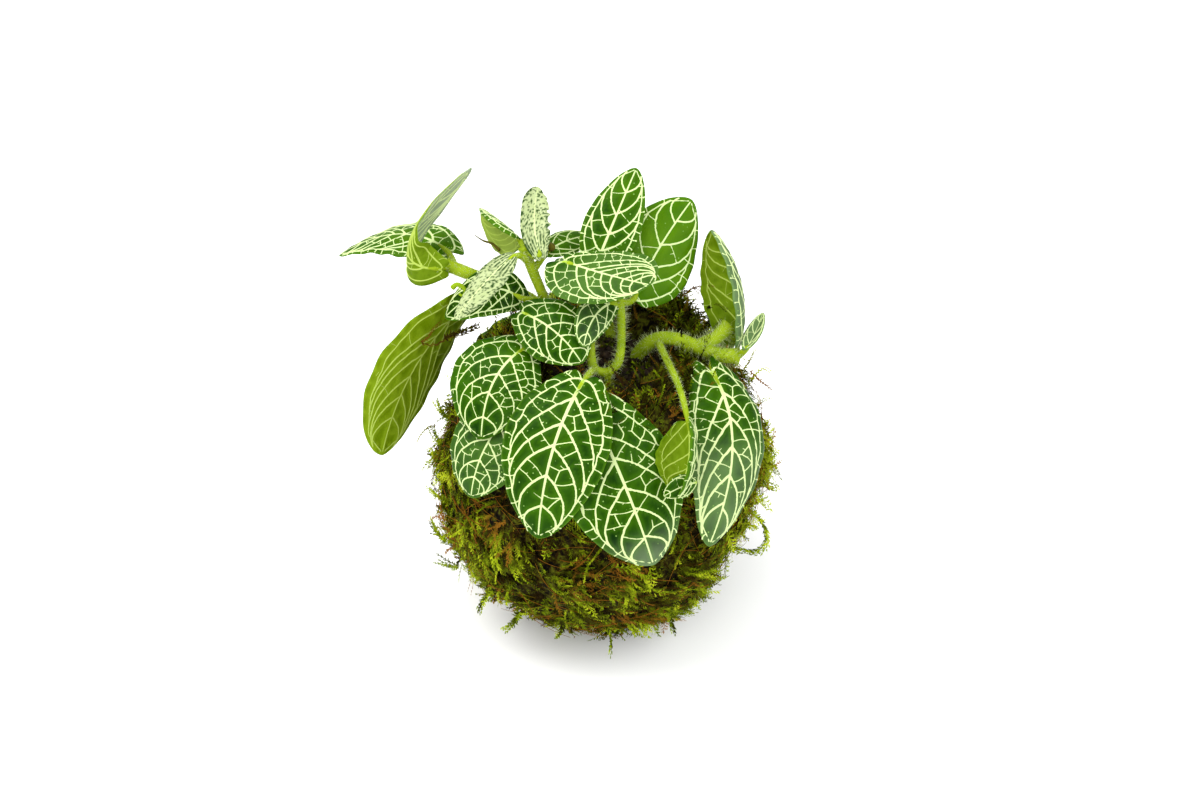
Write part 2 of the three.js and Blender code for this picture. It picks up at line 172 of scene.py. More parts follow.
LEAVES = {
    "front_left": leaf_row(
        30.5, (-2.5, -11, 91), (-5.5, -22.5, 95.5), (-14, -41, 85), (-18, -49, 61),
        (-0.1, -0.5, 0.85), (-0.3, -0.95, 0.1), 0.3, 0.5, lobes=0.5),
    "front_right": leaf_row(
        34, (1, -9.5, 84.5), (-3.5, -28, 89.5), (6.5, -44, 74), (14, -50.5, 52.5),
        (0.1, -0.6, 0.8), (0.3, -0.95, 0.15), 0.35, 0.5, sheen=(0.6, 0.72)),
    "left_upper": leaf_row(
        28, (-12, 4.5, 90), (-23, -9, 96), (-31, -18.5, 91), (-34, -27.5, 79),
        (-0.15, -0.5, 0.85), (-0.45, -0.85, 0.25), 0.35, 0.4, rise=0.55, sides=5),
    "left_lower": leaf_row(
        24, (1, -8, 79.5), (-26, -22.5, 84), (-33.5, -29, 75.5), (-37, -35, 64),
        (-0.3, -0.6, 0.7), (-0.6, -0.8, 0.2), 0.3, 0.4, sheen=(0.09, -0.3), rise=0.5),
    "middle_shaded": leaf_row(
        19, (-13, 5, 94), (-22.5, -1.5, 103.5), (-13, -9, 102), (-6, -15, 96), (0, -0.5, 0.85),
        (0.1, -0.7, 0.6), 0.2, 0.3, tone=-0.2, rise=0.5),
    "left_shaded": leaf_row(
        16, (-16.5, 7, 102), (-24, 6, 103.5), (-33.5, 6.5, 105.5), (-45, 6.5, 96),
        (-0.1, -0.4, 0.9), (-0.4, -0.4, 0.8), 0.3, 0.3, tone=-0.7),
}
FRONT = LEAVES["front_left"]  # the leaf that the cells below measure
print(len(LEAVES), "leaves in front")


# %% Young leaves and those on top
LEAVES.update({
    "young_low": leaf_row(
        9, (-21, 11, 112.5), (-25.5, 4.5, 118.5), (-32.5, 0, 113.5), (-41.5, -5, 104),
        (-0.3, -0.5, 0.8), (-0.5, -0.6, 0.6), 0.3, 0.3, lobes=0.3, young=True),
    "young_upright": leaf_row(
        8.5, (-22, 12, 115), (-17.5, 9, 115.5), (-19.5, 17.5, 121.5), (-18.5, 27, 127),
        (0.1, -0.9, 0.4), (0.3, -0.9, 0.3), -0.3, 0.5, lobes=0.4, young=True, crinkle=1),
    "top_left": leaf_row(
        15.5, (-22, 12, 115), (-23.5, 15.5, 116.5), (-28, 21.5, 116.5), (-35, 30.5, 117),
        (0.81, 0.55, 0.17), (0.81, 0.55, 0.17), 1.4, 0.2, lobes=0.2, tone=0.5, pale=0.5, sides=6,
        net_below=True),
    "top_small": leaf_row(
        9, (-19.8, 10.1, 110), (-15.5, 14.5, 113.5), (-10, 20.5, 113), (-3.5, 26.5, 110.5),
        (0, -0.4, 0.9), (0, -0.4, 0.9), 0.3, 0.2, tone=0.5),
    "top_middle": leaf_row(
        22, (-9, 4, 111), (-10.5, 5, 116.5), (1.5, -1.5, 116.5), (13, -5.5, 116),
        (0, -0.35, 0.93), (0, -0.35, 0.93), 0.3, 0.3, slant=0.6, tone=0.25, sheen=(0.1, 0.0),
        rise=0.6, sides=7, cells=0.9),
    "top_upright": leaf_row(
        16.5, (4.3, 4.2, 107), (-1.5, 9.5, 113.5), (3, 17.5, 121.5), (9.5, 32, 130),
        (-0.1, -0.8, 0.6), (-0.1, -0.8, 0.6), 0.2, 0.3, tone=0.3),
    "right_broad": leaf_row(
        25, (4.7, 2.4, 104.2), (9, 6.5, 102.5), (15, 17.5, 110.5), (25.5, 33, 118.5),
        (0.3, -0.7, 0.7), (0.3, -0.7, 0.7), 0.25, 0.3, lobes=0.3, tone=0.9, rise=0.46, sides=5,
        cells=1.5),
    "middle_low": leaf_row(
        10.5, (5, 0.5, 101), (3, 1, 105.5), (-2.5, -5.5, 105), (-5.5, -13.5, 100.5),
        (0.2, -0.6, 0.7), (0.2, -0.8, 0.5), 0.35, 0.2, tone=-0.4, sheen=(0.12, 0.2)),
})
print(len(LEAVES), "leaves with those on top")


# %% Leaves on the right
LEAVES.update({
    "right_back": leaf_row(
        23, (35.3, 6.5, 92.1), (38.5, 7.5, 87), (38, 16, 101), (31, 27, 112), (0.8, 0.5, -0.2),
        (0.8, 0.5, -0.2), 1.5, 0.3, sheen=(0.5, -0.3), shade=0.4, net_below=True),
    "right_small": leaf_row(
        6, (38.5, 1.5, 86), (41, 0, 90), (43.5, 5.5, 91), (46, 11.5, 94), (-0.5, -0.7, 0.5),
        (-0.5, -0.7, 0.5), 0, 0.2, fold=0.4, tone=0.4, sheen=(0.5, -0.3)),
    "front_far_right": leaf_row(
        25, (32, 0.5, 87.5), (31, -11, 89), (36, -30, 77), (29.5, -45.5, 55), (0.25, -0.4, 0.9),
        (0.4, -0.85, 0.2), 0.7, 0.5, tone=0.12, sheen=(0.3, 0.35), rise=0.55, sides=6, cells=0.9),
    "folded": leaf_row(
        21, (15.5, 3, 91), (23.5, -32, 88.5), (23.5, -40.5, 80.5), (20, -46, 73),
        (0.8, 0.35, -0.48), (0.8, 0.35, -0.48), 1.3, 0.3, lobes=0.3, tone=0.45, shade=0.5,
        net_below=True),
})
LEAVES["folded"]["flap"] = leaf_row(  # no joint: a flap has no stalk
    7.0, None, (25.6, -43.0, 76.0), (21.4, -46.2, 77.0), (16.7, -46.3, 73.8),
    (0.1, -0.8, 0.6), (-0.1, -0.8, 0.6), 0.7, 0.5, lobes=0.3, shade=0.5, cells=1.2,
    net_below=True)
print(len(LEAVES), "leaves with those on the right")


# %% Leaves on the far left
LEAVES.update({
    "far_left_flat": leaf_row(
        19, (-42.5, 17.8, 105.4), (-45, 27, 105), (-60, 36.5, 104), (-77.5, 38, 95.5),
        (0, -0.25, 1), (0, 0.35, 0.93), 0.3, 0.4, tone=0.55, sides=7, cells=0.8, net_below=True),
    "far_left_cupped": leaf_row(
        17.5, (-44.4, 18.3, 105.9), (-46, 14.2, 107.5), (-55.3, 20.5, 112.2), (-38, 42, 123.5),
        (0.35, 0.75, -0.1), (2.3, -2, -1.1), -0.4, 0.3, lobes=0.4, tone=0.6, sheen=(1.8, 0.3),
        shade=0.5, rise=0.5, sides=8, cells=0.75, net_below=True),
    "left_hanging": leaf_row(
        29.5, (-35.5, 15.5, 103.5), (-39, 16.5, 94), (-55, 6, 77.5), (-64.5, -4.5, 54.5),
        (-0.2, 0.8, 0.6), (-0.5, 0.8, 0.2), -0.25, 0.25, shade=0.15, rise=0.6, sides=7,
        net_below=True),
})
print(len(LEAVES), "leaves that show in the photo")


# %% Leaves on the hidden side
LEAVES.update({
    "back_upper": leaf_row(
        20, (0, 23, 92), (-3, 29, 93), (-5, 39, 94), (-7, 50, 86), (0, -0.1, 1), (0, 0.5, 0.85),
        0.3, 0.4),
    "back_middle": leaf_row(
        27, (-2.4, 34, 87.5), (-2, 41, 83), (-3, 49, 71), (-5, 51, 50), (0, 0.6, 0.8),
        (-0.1, 1, 0.1), 0.35, 0.5),
    "back_right": leaf_row(
        24, (13.6, 37.3, 78.3), (21, 40, 71), (30, 43, 58), (31.5, 43, 41), (0.4, 0.7, 0.6),
        (0.55, 0.8, 0.1), 0.35, 0.5),
    "back_left": leaf_row(
        24, (-13.6, 34.4, 82.7), (-20, 38.5, 76), (-31, 41, 65), (-38, 38.5, 48),
        (-0.4, 0.7, 0.6), (-0.6, 0.75, 0.1), 0.35, 0.5),
})
print(len(LEAVES), "leaves")


# %% [markdown]
# ## The courses of the stems
# Each stem has a radius and one or more runs of places. The first run comes out of the
# soil, and the others branch from it.

# %% Stem measures
STEMS = {
    "centre": (1.2, [
        [(1, -7, 74), (1, -9, 82), (1, -10.5, 89)],
        [(1, -10.5, 89), (4, -8, 90.5), (5, -4.5, 93), (5, 1, 102), (4.2, 4.5, 108)],
        [(1, -10.5, 89), (-2.5, -11, 91), (-3.5, -8, 95.5), (-3.5, -3, 100), (-6, 1, 106),
         (-9, 4, 111)],
    ]),
    "shoot": (1.3, [
        [(-10, 3, 74), (-11, 4, 84), (-13, 5, 94), (-16.5, 7, 102), (-21, 11, 112.5),
         (-22.5, 12.5, 116.5)],
    ]),
    "left": (1.5, [
        [(-12, 9, 74), (-13, 10, 84), (-19, 12, 97), (-35.5, 15.5, 103.5), (-45, 18.5, 106)],
    ]),
    "right": (1.7, [
        [(9, 5, 74), (10, 4.5, 84), (15.5, 3, 91), (21.5, 2, 91.5), (32, 0.5, 87.5),
         (38.5, 1.5, 86)],
        [(27, 1, 89.5), (32, 4, 90.5), (36, 7, 92.5)],
    ]),
    "back": (1.4, [
        [(3, 13, 74), (2, 14, 84), (0, 23, 92), (-3, 36, 87)],
        [(-1, 27, 91), (6, 34, 84), (15, 38, 77.5)],
        [(-1, 27, 91), (-7, 31.5, 87), (-15, 35, 82)],
    ]),
}
print(len(STEMS), "stems")


# %% [markdown]
# ## The form of a leaf
# A leaf can be drawn as a flat outline and bent with modifiers, or its form can be a
# formula that turns two shares into a point: u runs from the base to the tip and v from
# one edge to the other. The formula is used here, because the blade, the veins on it and
# the shading then all follow one surface.

# %% Midribs
def unit(vectors):
    """The same directions, each one long."""
    return vectors / np.linalg.norm(vectors, axis=-1, keepdims=True)


def midrib(leaf):
    """The three control points of the midrib."""
    base, middle, tip = (np.array(leaf[key], float) for key in ("base", "middle", "tip"))
    return base, 2 * middle - (base + tip) / 2, tip


def along_midrib(leaf, w):
    """Points of the midrib, w of the way from the base to the tip."""
    base, control, tip = midrib(leaf)
    return (1 - w) ** 2 * base + 2 * w * (1 - w) * control + w ** 2 * tip


for leaf in [*LEAVES.values(), LEAVES["folded"]["flap"]]:
    rib = along_midrib(leaf, np.linspace(0, 1, 100)[:, None])
    leaf["length"] = np.linalg.norm(np.diff(rib, axis=0), axis=1).sum()
print("longest midrib", round(max(leaf["length"] for leaf in LEAVES.values()), 1), "mm")


# %% Outline of a leaf
def half_width(leaf, u):
    """How far the blade reaches to each side, in millimetres."""
    share = 0.03 + 0.97 * np.clip(u, 0, 1)
    return leaf["width"] / 2 * np.abs(np.sin(np.pi * share ** 0.9)) ** 0.55


def set_back(leaf, u, v):
    """How far the blade reaches back at its base lobes."""
    lobe = 0.12 * leaf.get("lobes", 1) * leaf["length"] * np.sin(0.75 * np.pi * np.abs(v))
    return lobe * (1 - np.clip(u, 0, 1)) ** 4 + leaf.get("slant", 0) * half_width(leaf, u) * v


print("broadest blade", max(leaf["width"] for leaf in LEAVES.values()), "mm")


# %% Blade formula
def blade(leaf, u, v):
    """Points of the blade's middle sheet, in millimetres."""
    base, control, tip = midrib(leaf)
    half = half_width(leaf, u)
    curl = leaf["curl"] or 0.001
    fold = leaf.get("fold", 0)
    side = half * np.sin(curl * v) / curl * math.sqrt(1 - fold * fold)
    ripple = leaf["wave"] * np.abs(v) ** 3 * np.sin(10 * np.pi * u + np.sign(v))
    rise = half * (fold * np.abs(v) - (1 - np.cos(curl * v)) / curl + ripple / 12)
    back = set_back(leaf, u, v)
    w = np.clip(u, 0, 1)[..., None]
    along = unit((1 - w) * (control - base) + w * (tip - control))
    facing = (1 - w) * np.array(leaf["faces"][0]) + w * np.array(leaf["faces"][1])
    across = unit(np.cross(along, facing))
    up = np.cross(across, along)
    return (along_midrib(leaf, w) + across * side[..., None] + up * rise[..., None]
            - along * back[..., None])


def blade_normal(leaf, u, v):
    """The direction that the upper side looks in."""
    step = 0.01
    u = np.clip(u, step, 1 - step)
    along = blade(leaf, u + step, v) - blade(leaf, u - step, v)
    across = blade(leaf, u, v + step) - blade(leaf, u, v - step)
    return unit(np.cross(across, along))


print("tip of the front leaf:", np.round(blade(FRONT, np.ones(1), np.zeros(1)), 1))


# %% [markdown]
# ## The net of veins
# The white net is what makes this plant. A strong midrib sends out pairs of side veins,
# which arch forward into one vein that follows the edge. The fine net between them is
# grown from seeds: seeds spread evenly push each other apart, and a fine vein runs
# wherever two neighbours are equally far away. A few of these veins are cut short, as on
# the real leaf. A texture of cells could not follow the side veins or stand proud.

# %% Leaf plan
def flat_place(leaf, points):
    """The (u, v) points laid out flat, in millimetres."""
    u, v = points[..., 0], points[..., 1]
    back = set_back(leaf, u, v)
    return np.stack([v * half_width(leaf, u), u * leaf["length"] - back], axis=-1)


def leaf_shares(leaf, places):
    """The (u, v) points of flat places, found by closing in on them."""
    u = np.clip(places[..., 1] / leaf["length"], 0, 1)
    v = np.zeros_like(u)
    for _ in range(12):
        v = np.clip(places[..., 0] / np.maximum(half_width(leaf, u), 0.2), -1.3, 1.3)
        back = set_back(leaf, u, v)
        u = np.clip((places[..., 1] + back) / leaf["length"], 0, 1)
    return np.stack([u, v], axis=-1)


print("flat length of the front leaf:", flat_place(FRONT, np.array([1.0, 0.0]))[1].round(1))


# %% Side veins and edge veins
EDGE = 0.81  # where the edge vein runs, as a share of the half width


def marks_along(points):
    """How far along a run of points each of them lies."""
    return np.concatenate([[0], np.cumsum(np.linalg.norm(np.diff(points, axis=0), axis=1))])


def side_vein(side, start, end, forward, draw):
    """One side vein from the midrib at start to the edge vein at end."""
    t = np.linspace(0, 1, 17)
    u = start + (end - start) * (forward * t + (1 - forward) * t ** 2)
    sway = np.array([0] + [draw.uniform(-0.012, 0.012) for _ in t[2:]] + [0])
    v = side * (EDGE * (0.5 * np.sin(np.pi / 2 * t) + 0.5 * t) + sway)
    return np.stack([u, v], axis=-1)


def edge_vein(side, start, end, draw):
    """The vein along the edge, a little crooked, which closes over the tip."""
    u = np.linspace(start, end, 26)
    sway = np.array([0] + [draw.uniform(-0.022, 0.022) for _ in u[1:]])
    v = side * (EDGE + sway) * np.clip((0.985 - u) / 0.08, 0, 1) ** 0.5
    return np.stack([u, v], axis=-1)


print("side veins end at", EDGE, "of the half width")


# %% Main veins
def main_veins(leaf, size, draw):
    """The midrib, the side veins and the edge veins, each with its two widths."""
    usual = int(round(np.interp(leaf["length"], [10, 22, 45], [3, 5, 6])))
    count = leaf.get("sides", usual)
    rib = np.stack([np.linspace(0.0, 0.98, 40), np.zeros(40)], axis=-1)
    veins = [(rib, 1.4 * size, 0.6 * size)]
    rise = leaf.get("rise", 0.44)
    for side in (-1, 1):
        veins.append((side_vein(side, 0.005, 0.28, 0.05, draw), 1.0 * size, 0.72 * size))
        veins.append((edge_vein(side, 0.28, 0.98, draw), 0.76 * size, 0.5 * size))
        for share in np.linspace(0, 1, count)[1:]:
            start = 0.14 + 0.66 * (share - 1 / (count - 1)) * (count - 1) / max(count - 2, 1)
            start += draw.uniform(-0.02, 0.02)
            end = min(0.955, start + rise * (1 - 0.5 * start) + draw.uniform(-0.02, 0.02))
            path = side_vein(side, start, end, 0.75, draw)
            veins.append((path, (1.1 - 0.2 * share) * size, 0.7 * size))
    return veins


print("main veins of the front leaf:", len(main_veins(FRONT, 1, random.Random(0))))


# %% Seeds along the rim
def nearest(places, marks):
    """For each place the nearest of the marks and how far away it is."""
    gaps = np.linalg.norm(places[:, None, :] - marks[None, :, :], axis=2)
    best = gaps.argmin(axis=1)
    return marks[best], gaps[np.arange(len(places)), best]


def rim_seeds(leaf, side, spacing, draw):
    """Seeds between the edge vein and the rim, so that short veins run out to the rim."""
    u = np.linspace(0, 0.97, 200)
    run = flat_place(leaf, np.stack([u, np.full(200, side * (1 + EDGE) / 2)], axis=-1))
    marks = marks_along(run)
    count = int(marks[-1] / (0.86 * spacing))
    wanted = [(k + 0.5 + draw.uniform(-0.22, 0.22)) * marks[-1] / count for k in range(count)]
    return np.stack([np.interp(wanted, marks, run[:, k]) for k in (0, 1)], axis=-1)


print("seeds along one rim:", len(rim_seeds(FRONT, 1, 4.3, random.Random(0))))


# %% Seeds of the fine net
ROUNDS, PUSH = 9, 0.28  # how often and how hard the seeds push each other apart
CLEAR_OF_VEIN, CLOSEST = 0.48, 0.55  # gaps to a main vein and between seeds, in spacings


def seeds(leaf, marks, spacing, draw):
    """Evenly spread flat places that keep clear of the main veins."""
    half, length = leaf["width"] / 2, leaf["length"]
    start = []
    for j in range(int(-0.3 * length / spacing), int(1.1 * length / spacing) + 1):
        for i in range(-int(half / spacing) - 2, int(half / spacing) + 3):
            start.append(((i + 0.5 * (j % 2) + draw.uniform(-0.3, 0.3)) * spacing,
                          (j + draw.uniform(-0.3, 0.3)) * spacing * 0.9))
    places = np.array(start)
    for _ in range(ROUNDS):
        shares = leaf_shares(leaf, places)
        flat = flat_place(leaf, shares)
        strayed = np.linalg.norm(flat - places, axis=1)
        places = places[(np.abs(shares[:, 1]) < 1) & (strayed < 0.5 * spacing)]
        away = places[:, None, :] - places[None, :, :]
        gaps = np.linalg.norm(away, axis=2) + np.eye(len(places)) * 99
        push = np.clip(1.05 * spacing - gaps, 0, None) / gaps * PUSH
        places = places + (away * push[..., None]).sum(axis=1)
        mark, gap = nearest(places, marks)
        step = np.clip(CLEAR_OF_VEIN * spacing - gap, 0, None) / np.maximum(gap, 0.05)
        places = places + (places - mark) * step[:, None] * 0.5
        shares = leaf_shares(leaf, places)
        shares[:, 1] = np.clip(shares[:, 1], -0.76, 0.76)
        shares[:, 0] = np.clip(shares[:, 0], 0.01, 0.97)
        places = flat_place(leaf, shares)
    keep = []
    for k, place in enumerate(places):
        if all(np.linalg.norm(place - places[other]) > CLOSEST * spacing for other in keep):
            keep.append(k)
    places = places[keep]
    places = places[nearest(places, marks)[1] > 0.2 * spacing]
    return np.concatenate([places] + [rim_seeds(leaf, side, spacing, draw) for side in (-1, 1)])


print("seeds take", ROUNDS, "rounds to spread")


# %% Lines that cross
def crosses(first, second, lines):
    """True for each pair of places whose joining line crosses one of the lines."""
    a, b = lines[:, 0][None], lines[:, 1][None]
    p, q = first[:, None], second[:, None]

    def turn(o, s, e):
        """Positive where e lies to the left of the line from o to s."""
        return (s - o)[..., 0] * (e - o)[..., 1] - (s - o)[..., 1] * (e - o)[..., 0]

    apart = turn(a, b, p) * turn(a, b, q) < 0
    return (apart & (turn(p, q, a) * turn(p, q, b) < 0)).any(axis=1)


print("diagonals of a square cross:", crosses(np.array([[0, 0]]), np.array([[1, 1]]),
                                              np.array([[[1, 0], [0, 1]]])))


# %% Rim and corners of the net
def ring_outside(leaf, spacing):
    """Places just outside the rim, which end the net there."""
    u = np.concatenate([np.linspace(0, 1, 40), np.linspace(1, 0, 40)])
    v = np.concatenate([np.ones(40), -np.ones(40)])
    rim = flat_place(leaf, np.stack([u, v], axis=-1))
    ahead = np.roll(rim, -1, axis=0) - np.roll(rim, 1, axis=0)
    out = unit(np.stack([ahead[:, 1], -ahead[:, 0]], axis=-1) + 1e-9)
    return rim + out * 0.5 * spacing


def corner(a, b, c):
    """The place equally far from three places, or their middle where that is far off."""
    u, v = b - a, c - a
    area = 2 * (u[0] * v[1] - u[1] * v[0])
    middle = (a + b + c) / 3
    if abs(area) < 1e-6:
        return middle
    uu, vv = u @ u, v @ v
    found = a + np.array([v[1] * uu - u[1] * vv, u[0] * vv - v[0] * uu]) / area
    reach = np.linalg.norm(found - middle)
    limit = 0.6 * math.sqrt(max(uu, vv))
    return found if reach < limit else middle + (found - middle) * limit / reach


print("equally far from three places:", corner(*np.array([[0.0, 0], [2, 0], [0, 2]])))


# %% Corners and pairs of the net
RIM = 0.985  # where the finest veins end


def net_faces(leaf, mains, spacing, draw):
    """The net before it is drawn: its corners, the pairs of seeds whose veins join two
    corners, whether a main vein parts each pair, the seeds, and which of them lie outside."""
    runs = [flat_place(leaf, path) for path, *_ in mains]
    marks = np.concatenate(runs)
    lines = np.concatenate([np.stack([run[:-1], run[1:]], axis=1) for run in runs])
    inner = seeds(leaf, marks, spacing, draw)
    places = np.concatenate([inner, ring_outside(leaf, spacing)])
    found = geometry.delaunay_2d_cdt([Vector(place) for place in places], [], [], 0, 1e-4)
    places, faces = np.array([tuple(place) for place in found[0]]), found[2]
    outside = np.array([min(origins) >= len(inner) for origins in found[3]])
    corners, sides = [], {}
    for k, (a, b, c) in enumerate(faces):
        corners.append(corner(places[a], places[b], places[c]))
        for i, j in ((a, b), (b, c), (a, c)):
            sides.setdefault((min(i, j), max(i, j)), []).append(k)
    sides = {pair: shared for pair, shared in sides.items() if len(shared) == 2}
    first, second = (places[[pair[k] for pair in sides]] for k in (0, 1))
    split = crosses(first, second, lines)
    on_vein = {face for shared, apart in zip(sides.values(), split) if apart for face in shared}
    corners = np.array(corners)
    on_mark, gap = nearest(corners, marks)
    for face in on_vein:
        if gap[face] < 0.6 * spacing:
            corners[face] = on_mark[face]
    shares = leaf_shares(leaf, corners)
    at_rim = np.array([outside[list(face)].any() for face in faces])
    loose = at_rim & ~np.isin(np.arange(len(faces)), list(on_vein))
    shares[loose, 1] = np.sign(shares[loose, 1]) * RIM
    shares[:, 1] = np.clip(shares[:, 1], -RIM, RIM)
    shares[:, 0] = np.clip(shares[:, 0], 0.0, RIM)
    return shares, sides, split, places, outside


trial = net_faces(FRONT, main_veins(FRONT, 1, random.Random(0)), 4.3, random.Random(0))
print("the front leaf's net has", len(trial[0]), "corners")


# %% Fine net between the main veins
CUT_SHORT = 0.13  # share of the fine veins that end halfway
SPURS = 0.3  # share of them that carry a spur into a panel


def fine_net(leaf, mains, spacing, wide, draw):
    """The rungs between the main veins, each with its points and two widths."""
    shares, sides, split, places, outside = net_faces(leaf, mains, spacing, draw)
    made = []
    end = 0.55 * wide
    for (pair, shared), apart in zip(sides.items(), split):
        if apart or outside[list(pair)].any():
            continue
        start, stop = (shares[face] for face in shared)
        reach = np.linalg.norm(flat_place(leaf, start) - flat_place(leaf, stop))
        if reach < 0.3:
            continue
        du, dv = stop - start
        across = np.array([-dv / leaf["length"], du * 2 / leaf["width"]])
        bend = (start + stop) / 2 + across * draw.uniform(-0.12, 0.12) * leaf["width"] / 2
        bend[1] = min(max(bend[1], -0.97), 0.97)
        if reach > 0.5 * spacing and draw.random() < CUT_SHORT:
            if draw.random() < 0.5:
                start, stop = stop, start
            made.append(([start, bend], wide, end))
            continue
        made.append(([start, bend, stop], wide, wide))
        if reach > 0.6 * spacing and draw.random() < SPURS:
            seed = leaf_shares(leaf, places[draw.choice(pair)])
            spur = bend + (seed - bend) * draw.uniform(0.4, 0.7)
            made.append(([bend, spur], 0.8 * wide, end))
    return made


def leaf_veins(leaf, draw):
    """The whole net of one leaf: points, first width, last width and if it is a main vein."""
    size = float(np.clip(math.sqrt(leaf["length"] / 46), 0.5, 1.05))
    mains = main_veins(leaf, size, draw)
    if leaf.get("young"):
        mains, net = [(mains[0][0], 0.9, 0.3)], []
    else:
        net = fine_net(leaf, mains, 4.3 * size * leaf.get("cells", 1), 0.5 * size, draw)
    return [(*vein, True) for vein in mains] + [(*vein, False) for vein in net], size


print("veins of the front leaf:", len(leaf_veins(FRONT, random.Random(0))[0]))


# %% Smooth paths
def fours(points):
    """Each step of a run with the points before and after it. One is added at each end."""
    before, after = 2 * points[:1] - points[1:2], 2 * points[-1:] - points[-2:-1]
    padded = np.concatenate([before, points, after])
    return zip(padded, padded[1:], padded[2:], padded[3:])


def smooth_path(points, per_step):
    """A smooth run through the points, with per_step pieces between two of them."""
    points = np.array(points, float)
    t = np.linspace(0, 1, per_step, endpoint=False)[:, None]
    runs = []
    for a, b, c, d in fours(points):
        runs.append(0.5 * (2 * b + (c - a) * t + (2 * a - 5 * b + 4 * c - d) * t ** 2
                           + (3 * b - a - 3 * c + d) * t ** 3))
    return np.concatenate(runs + [points[-1:]])


print("points of a smooth path:", len(smooth_path([(0, 0), (1, 1), (2, 0)], 3)))


# %% [markdown]
# ## Leaf finishes
# A leaf is never one green. The blade is deep green in the middle of each panel, lighter
# beside the veins and along the rim, and it has fine pale specks. Its skin is glossy with
# a very fine grain. Some light passes through, so each finish mixes in a little
# translucent shader. The leaves carry their own measures as attributes: panel is 0 on a
# vein and 1 far from it, rim is 1 at the edge, tone grows along the midrib and below zero
# is painted shade, young is 1 where a vein leaves the stalk, and sheen, shade and pale
# belong to single leaves: the sheen share is a painted reflection, shade is painted shade
# on the underside, and pale makes an underside paler.

# %% Shared noise group
def noise_at(tree, place, scale, detail, distortion=0.0):
    """Soft noise at a place."""
    made = node(tree, "TexNoise", {"Vector": place, "Scale": scale, "Detail": detail,
                                   "Distortion": distortion})
    return made.outputs["Fac"]


def maths(tree, operation, first, second):
    """One sum of two values or links."""
    return node(tree, "Math", {0: first, 1: second}, operation=operation).outputs["Value"]


def spotted_group():
    """A node group that turns a place into soft patches, a fine grain and small specks."""
    group = bpy.data.node_groups.new("leaf_skin", "ShaderNodeTree")
    group.interface.new_socket("Place", in_out="INPUT", socket_type="NodeSocketVector")
    group.interface.new_socket("Patch Scale", in_out="INPUT", socket_type="NodeSocketFloat")
    for name in ("Patches", "Grain", "Specks"):
        group.interface.new_socket(name, in_out="OUTPUT", socket_type="NodeSocketFloat")
    inside = group.nodes.new("NodeGroupInput")
    outside = group.nodes.new("NodeGroupOutput")
    place = inside.outputs["Place"]
    cells = node(group, "TexVoronoi", {"Vector": place, "Scale": 780.0})
    small = remap(group, cells.outputs["Distance"], 1.0, 0.0, 0.10, 0.20)
    split = node(group, "SeparateColor", {"Color": cells.outputs["Color"]})
    few = maths(group, "GREATER_THAN", split.outputs["Red"], 0.72)
    results = {
        "Patches": noise_at(group, place, inside.outputs["Patch Scale"], 3.0),
        "Grain": noise_at(group, place, 2600.0, 2.0),
        "Specks": maths(group, "MULTIPLY", small, few),
    }
    for name, value in results.items():
        group.links.new(value, outside.inputs[name])
    return group


LEAF_SKIN = spotted_group()
print("skin group with", len(LEAF_SKIN.nodes), "nodes")


# %% Skin in a material
def object_place(tree):
    """The place of a point in Object coordinates."""
    return node(tree, "TexCoord").outputs["Object"]


def skin_nodes(tree, scale):
    """The shared group, placed in a material and read in Object coordinates."""
    skin = tree.nodes.new("ShaderNodeGroup")
    skin.node_tree = LEAF_SKIN
    tree.links.new(object_place(tree), skin.inputs["Place"])
    skin.inputs["Patch Scale"].default_value = scale
    return skin


def attribute(tree, name):
    """One of the values that the mesh carries at its vertices."""
    return node(tree, "Attribute", attribute_name=name).outputs["Fac"]


def blend(tree, share, first, second):
    """A colour between two colours. Each is a colour or a link."""
    mix = tree.nodes.new("ShaderNodeMix")
    mix.data_type = "RGBA"
    for socket, value in ((mix.inputs[0], share), (mix.inputs[6], first), (mix.inputs[7], second)):
        if isinstance(value, bpy.types.NodeSocket):
            tree.links.new(value, socket)
        else:
            socket.default_value = value
    return mix.outputs[2]


def leafy_shader(tree, output, colour, roughness, height, bump, through, gloss=0.04):
    """Skin over translucent flesh: colour and roughness may be links."""
    relief = node(tree, "Bump", {"Height": height, "Strength": bump, "Distance": 0.0003})
    skin = node(tree, "BsdfPrincipled", {
        "Base Color": colour, "Roughness": roughness, "Normal": relief.outputs["Normal"],
        "Specular IOR Level": gloss})
    flesh = node(tree, "BsdfTranslucent", {"Color": colour})
    both = node(tree, "MixShader", {
        0: through, 1: skin.outputs["BSDF"], 2: flesh.outputs["BSDF"]})
    tree.links.new(both.outputs["Shader"], output.inputs["Surface"])


print("sockets of the skin group:", len(LEAF_SKIN.interface.items_tree))


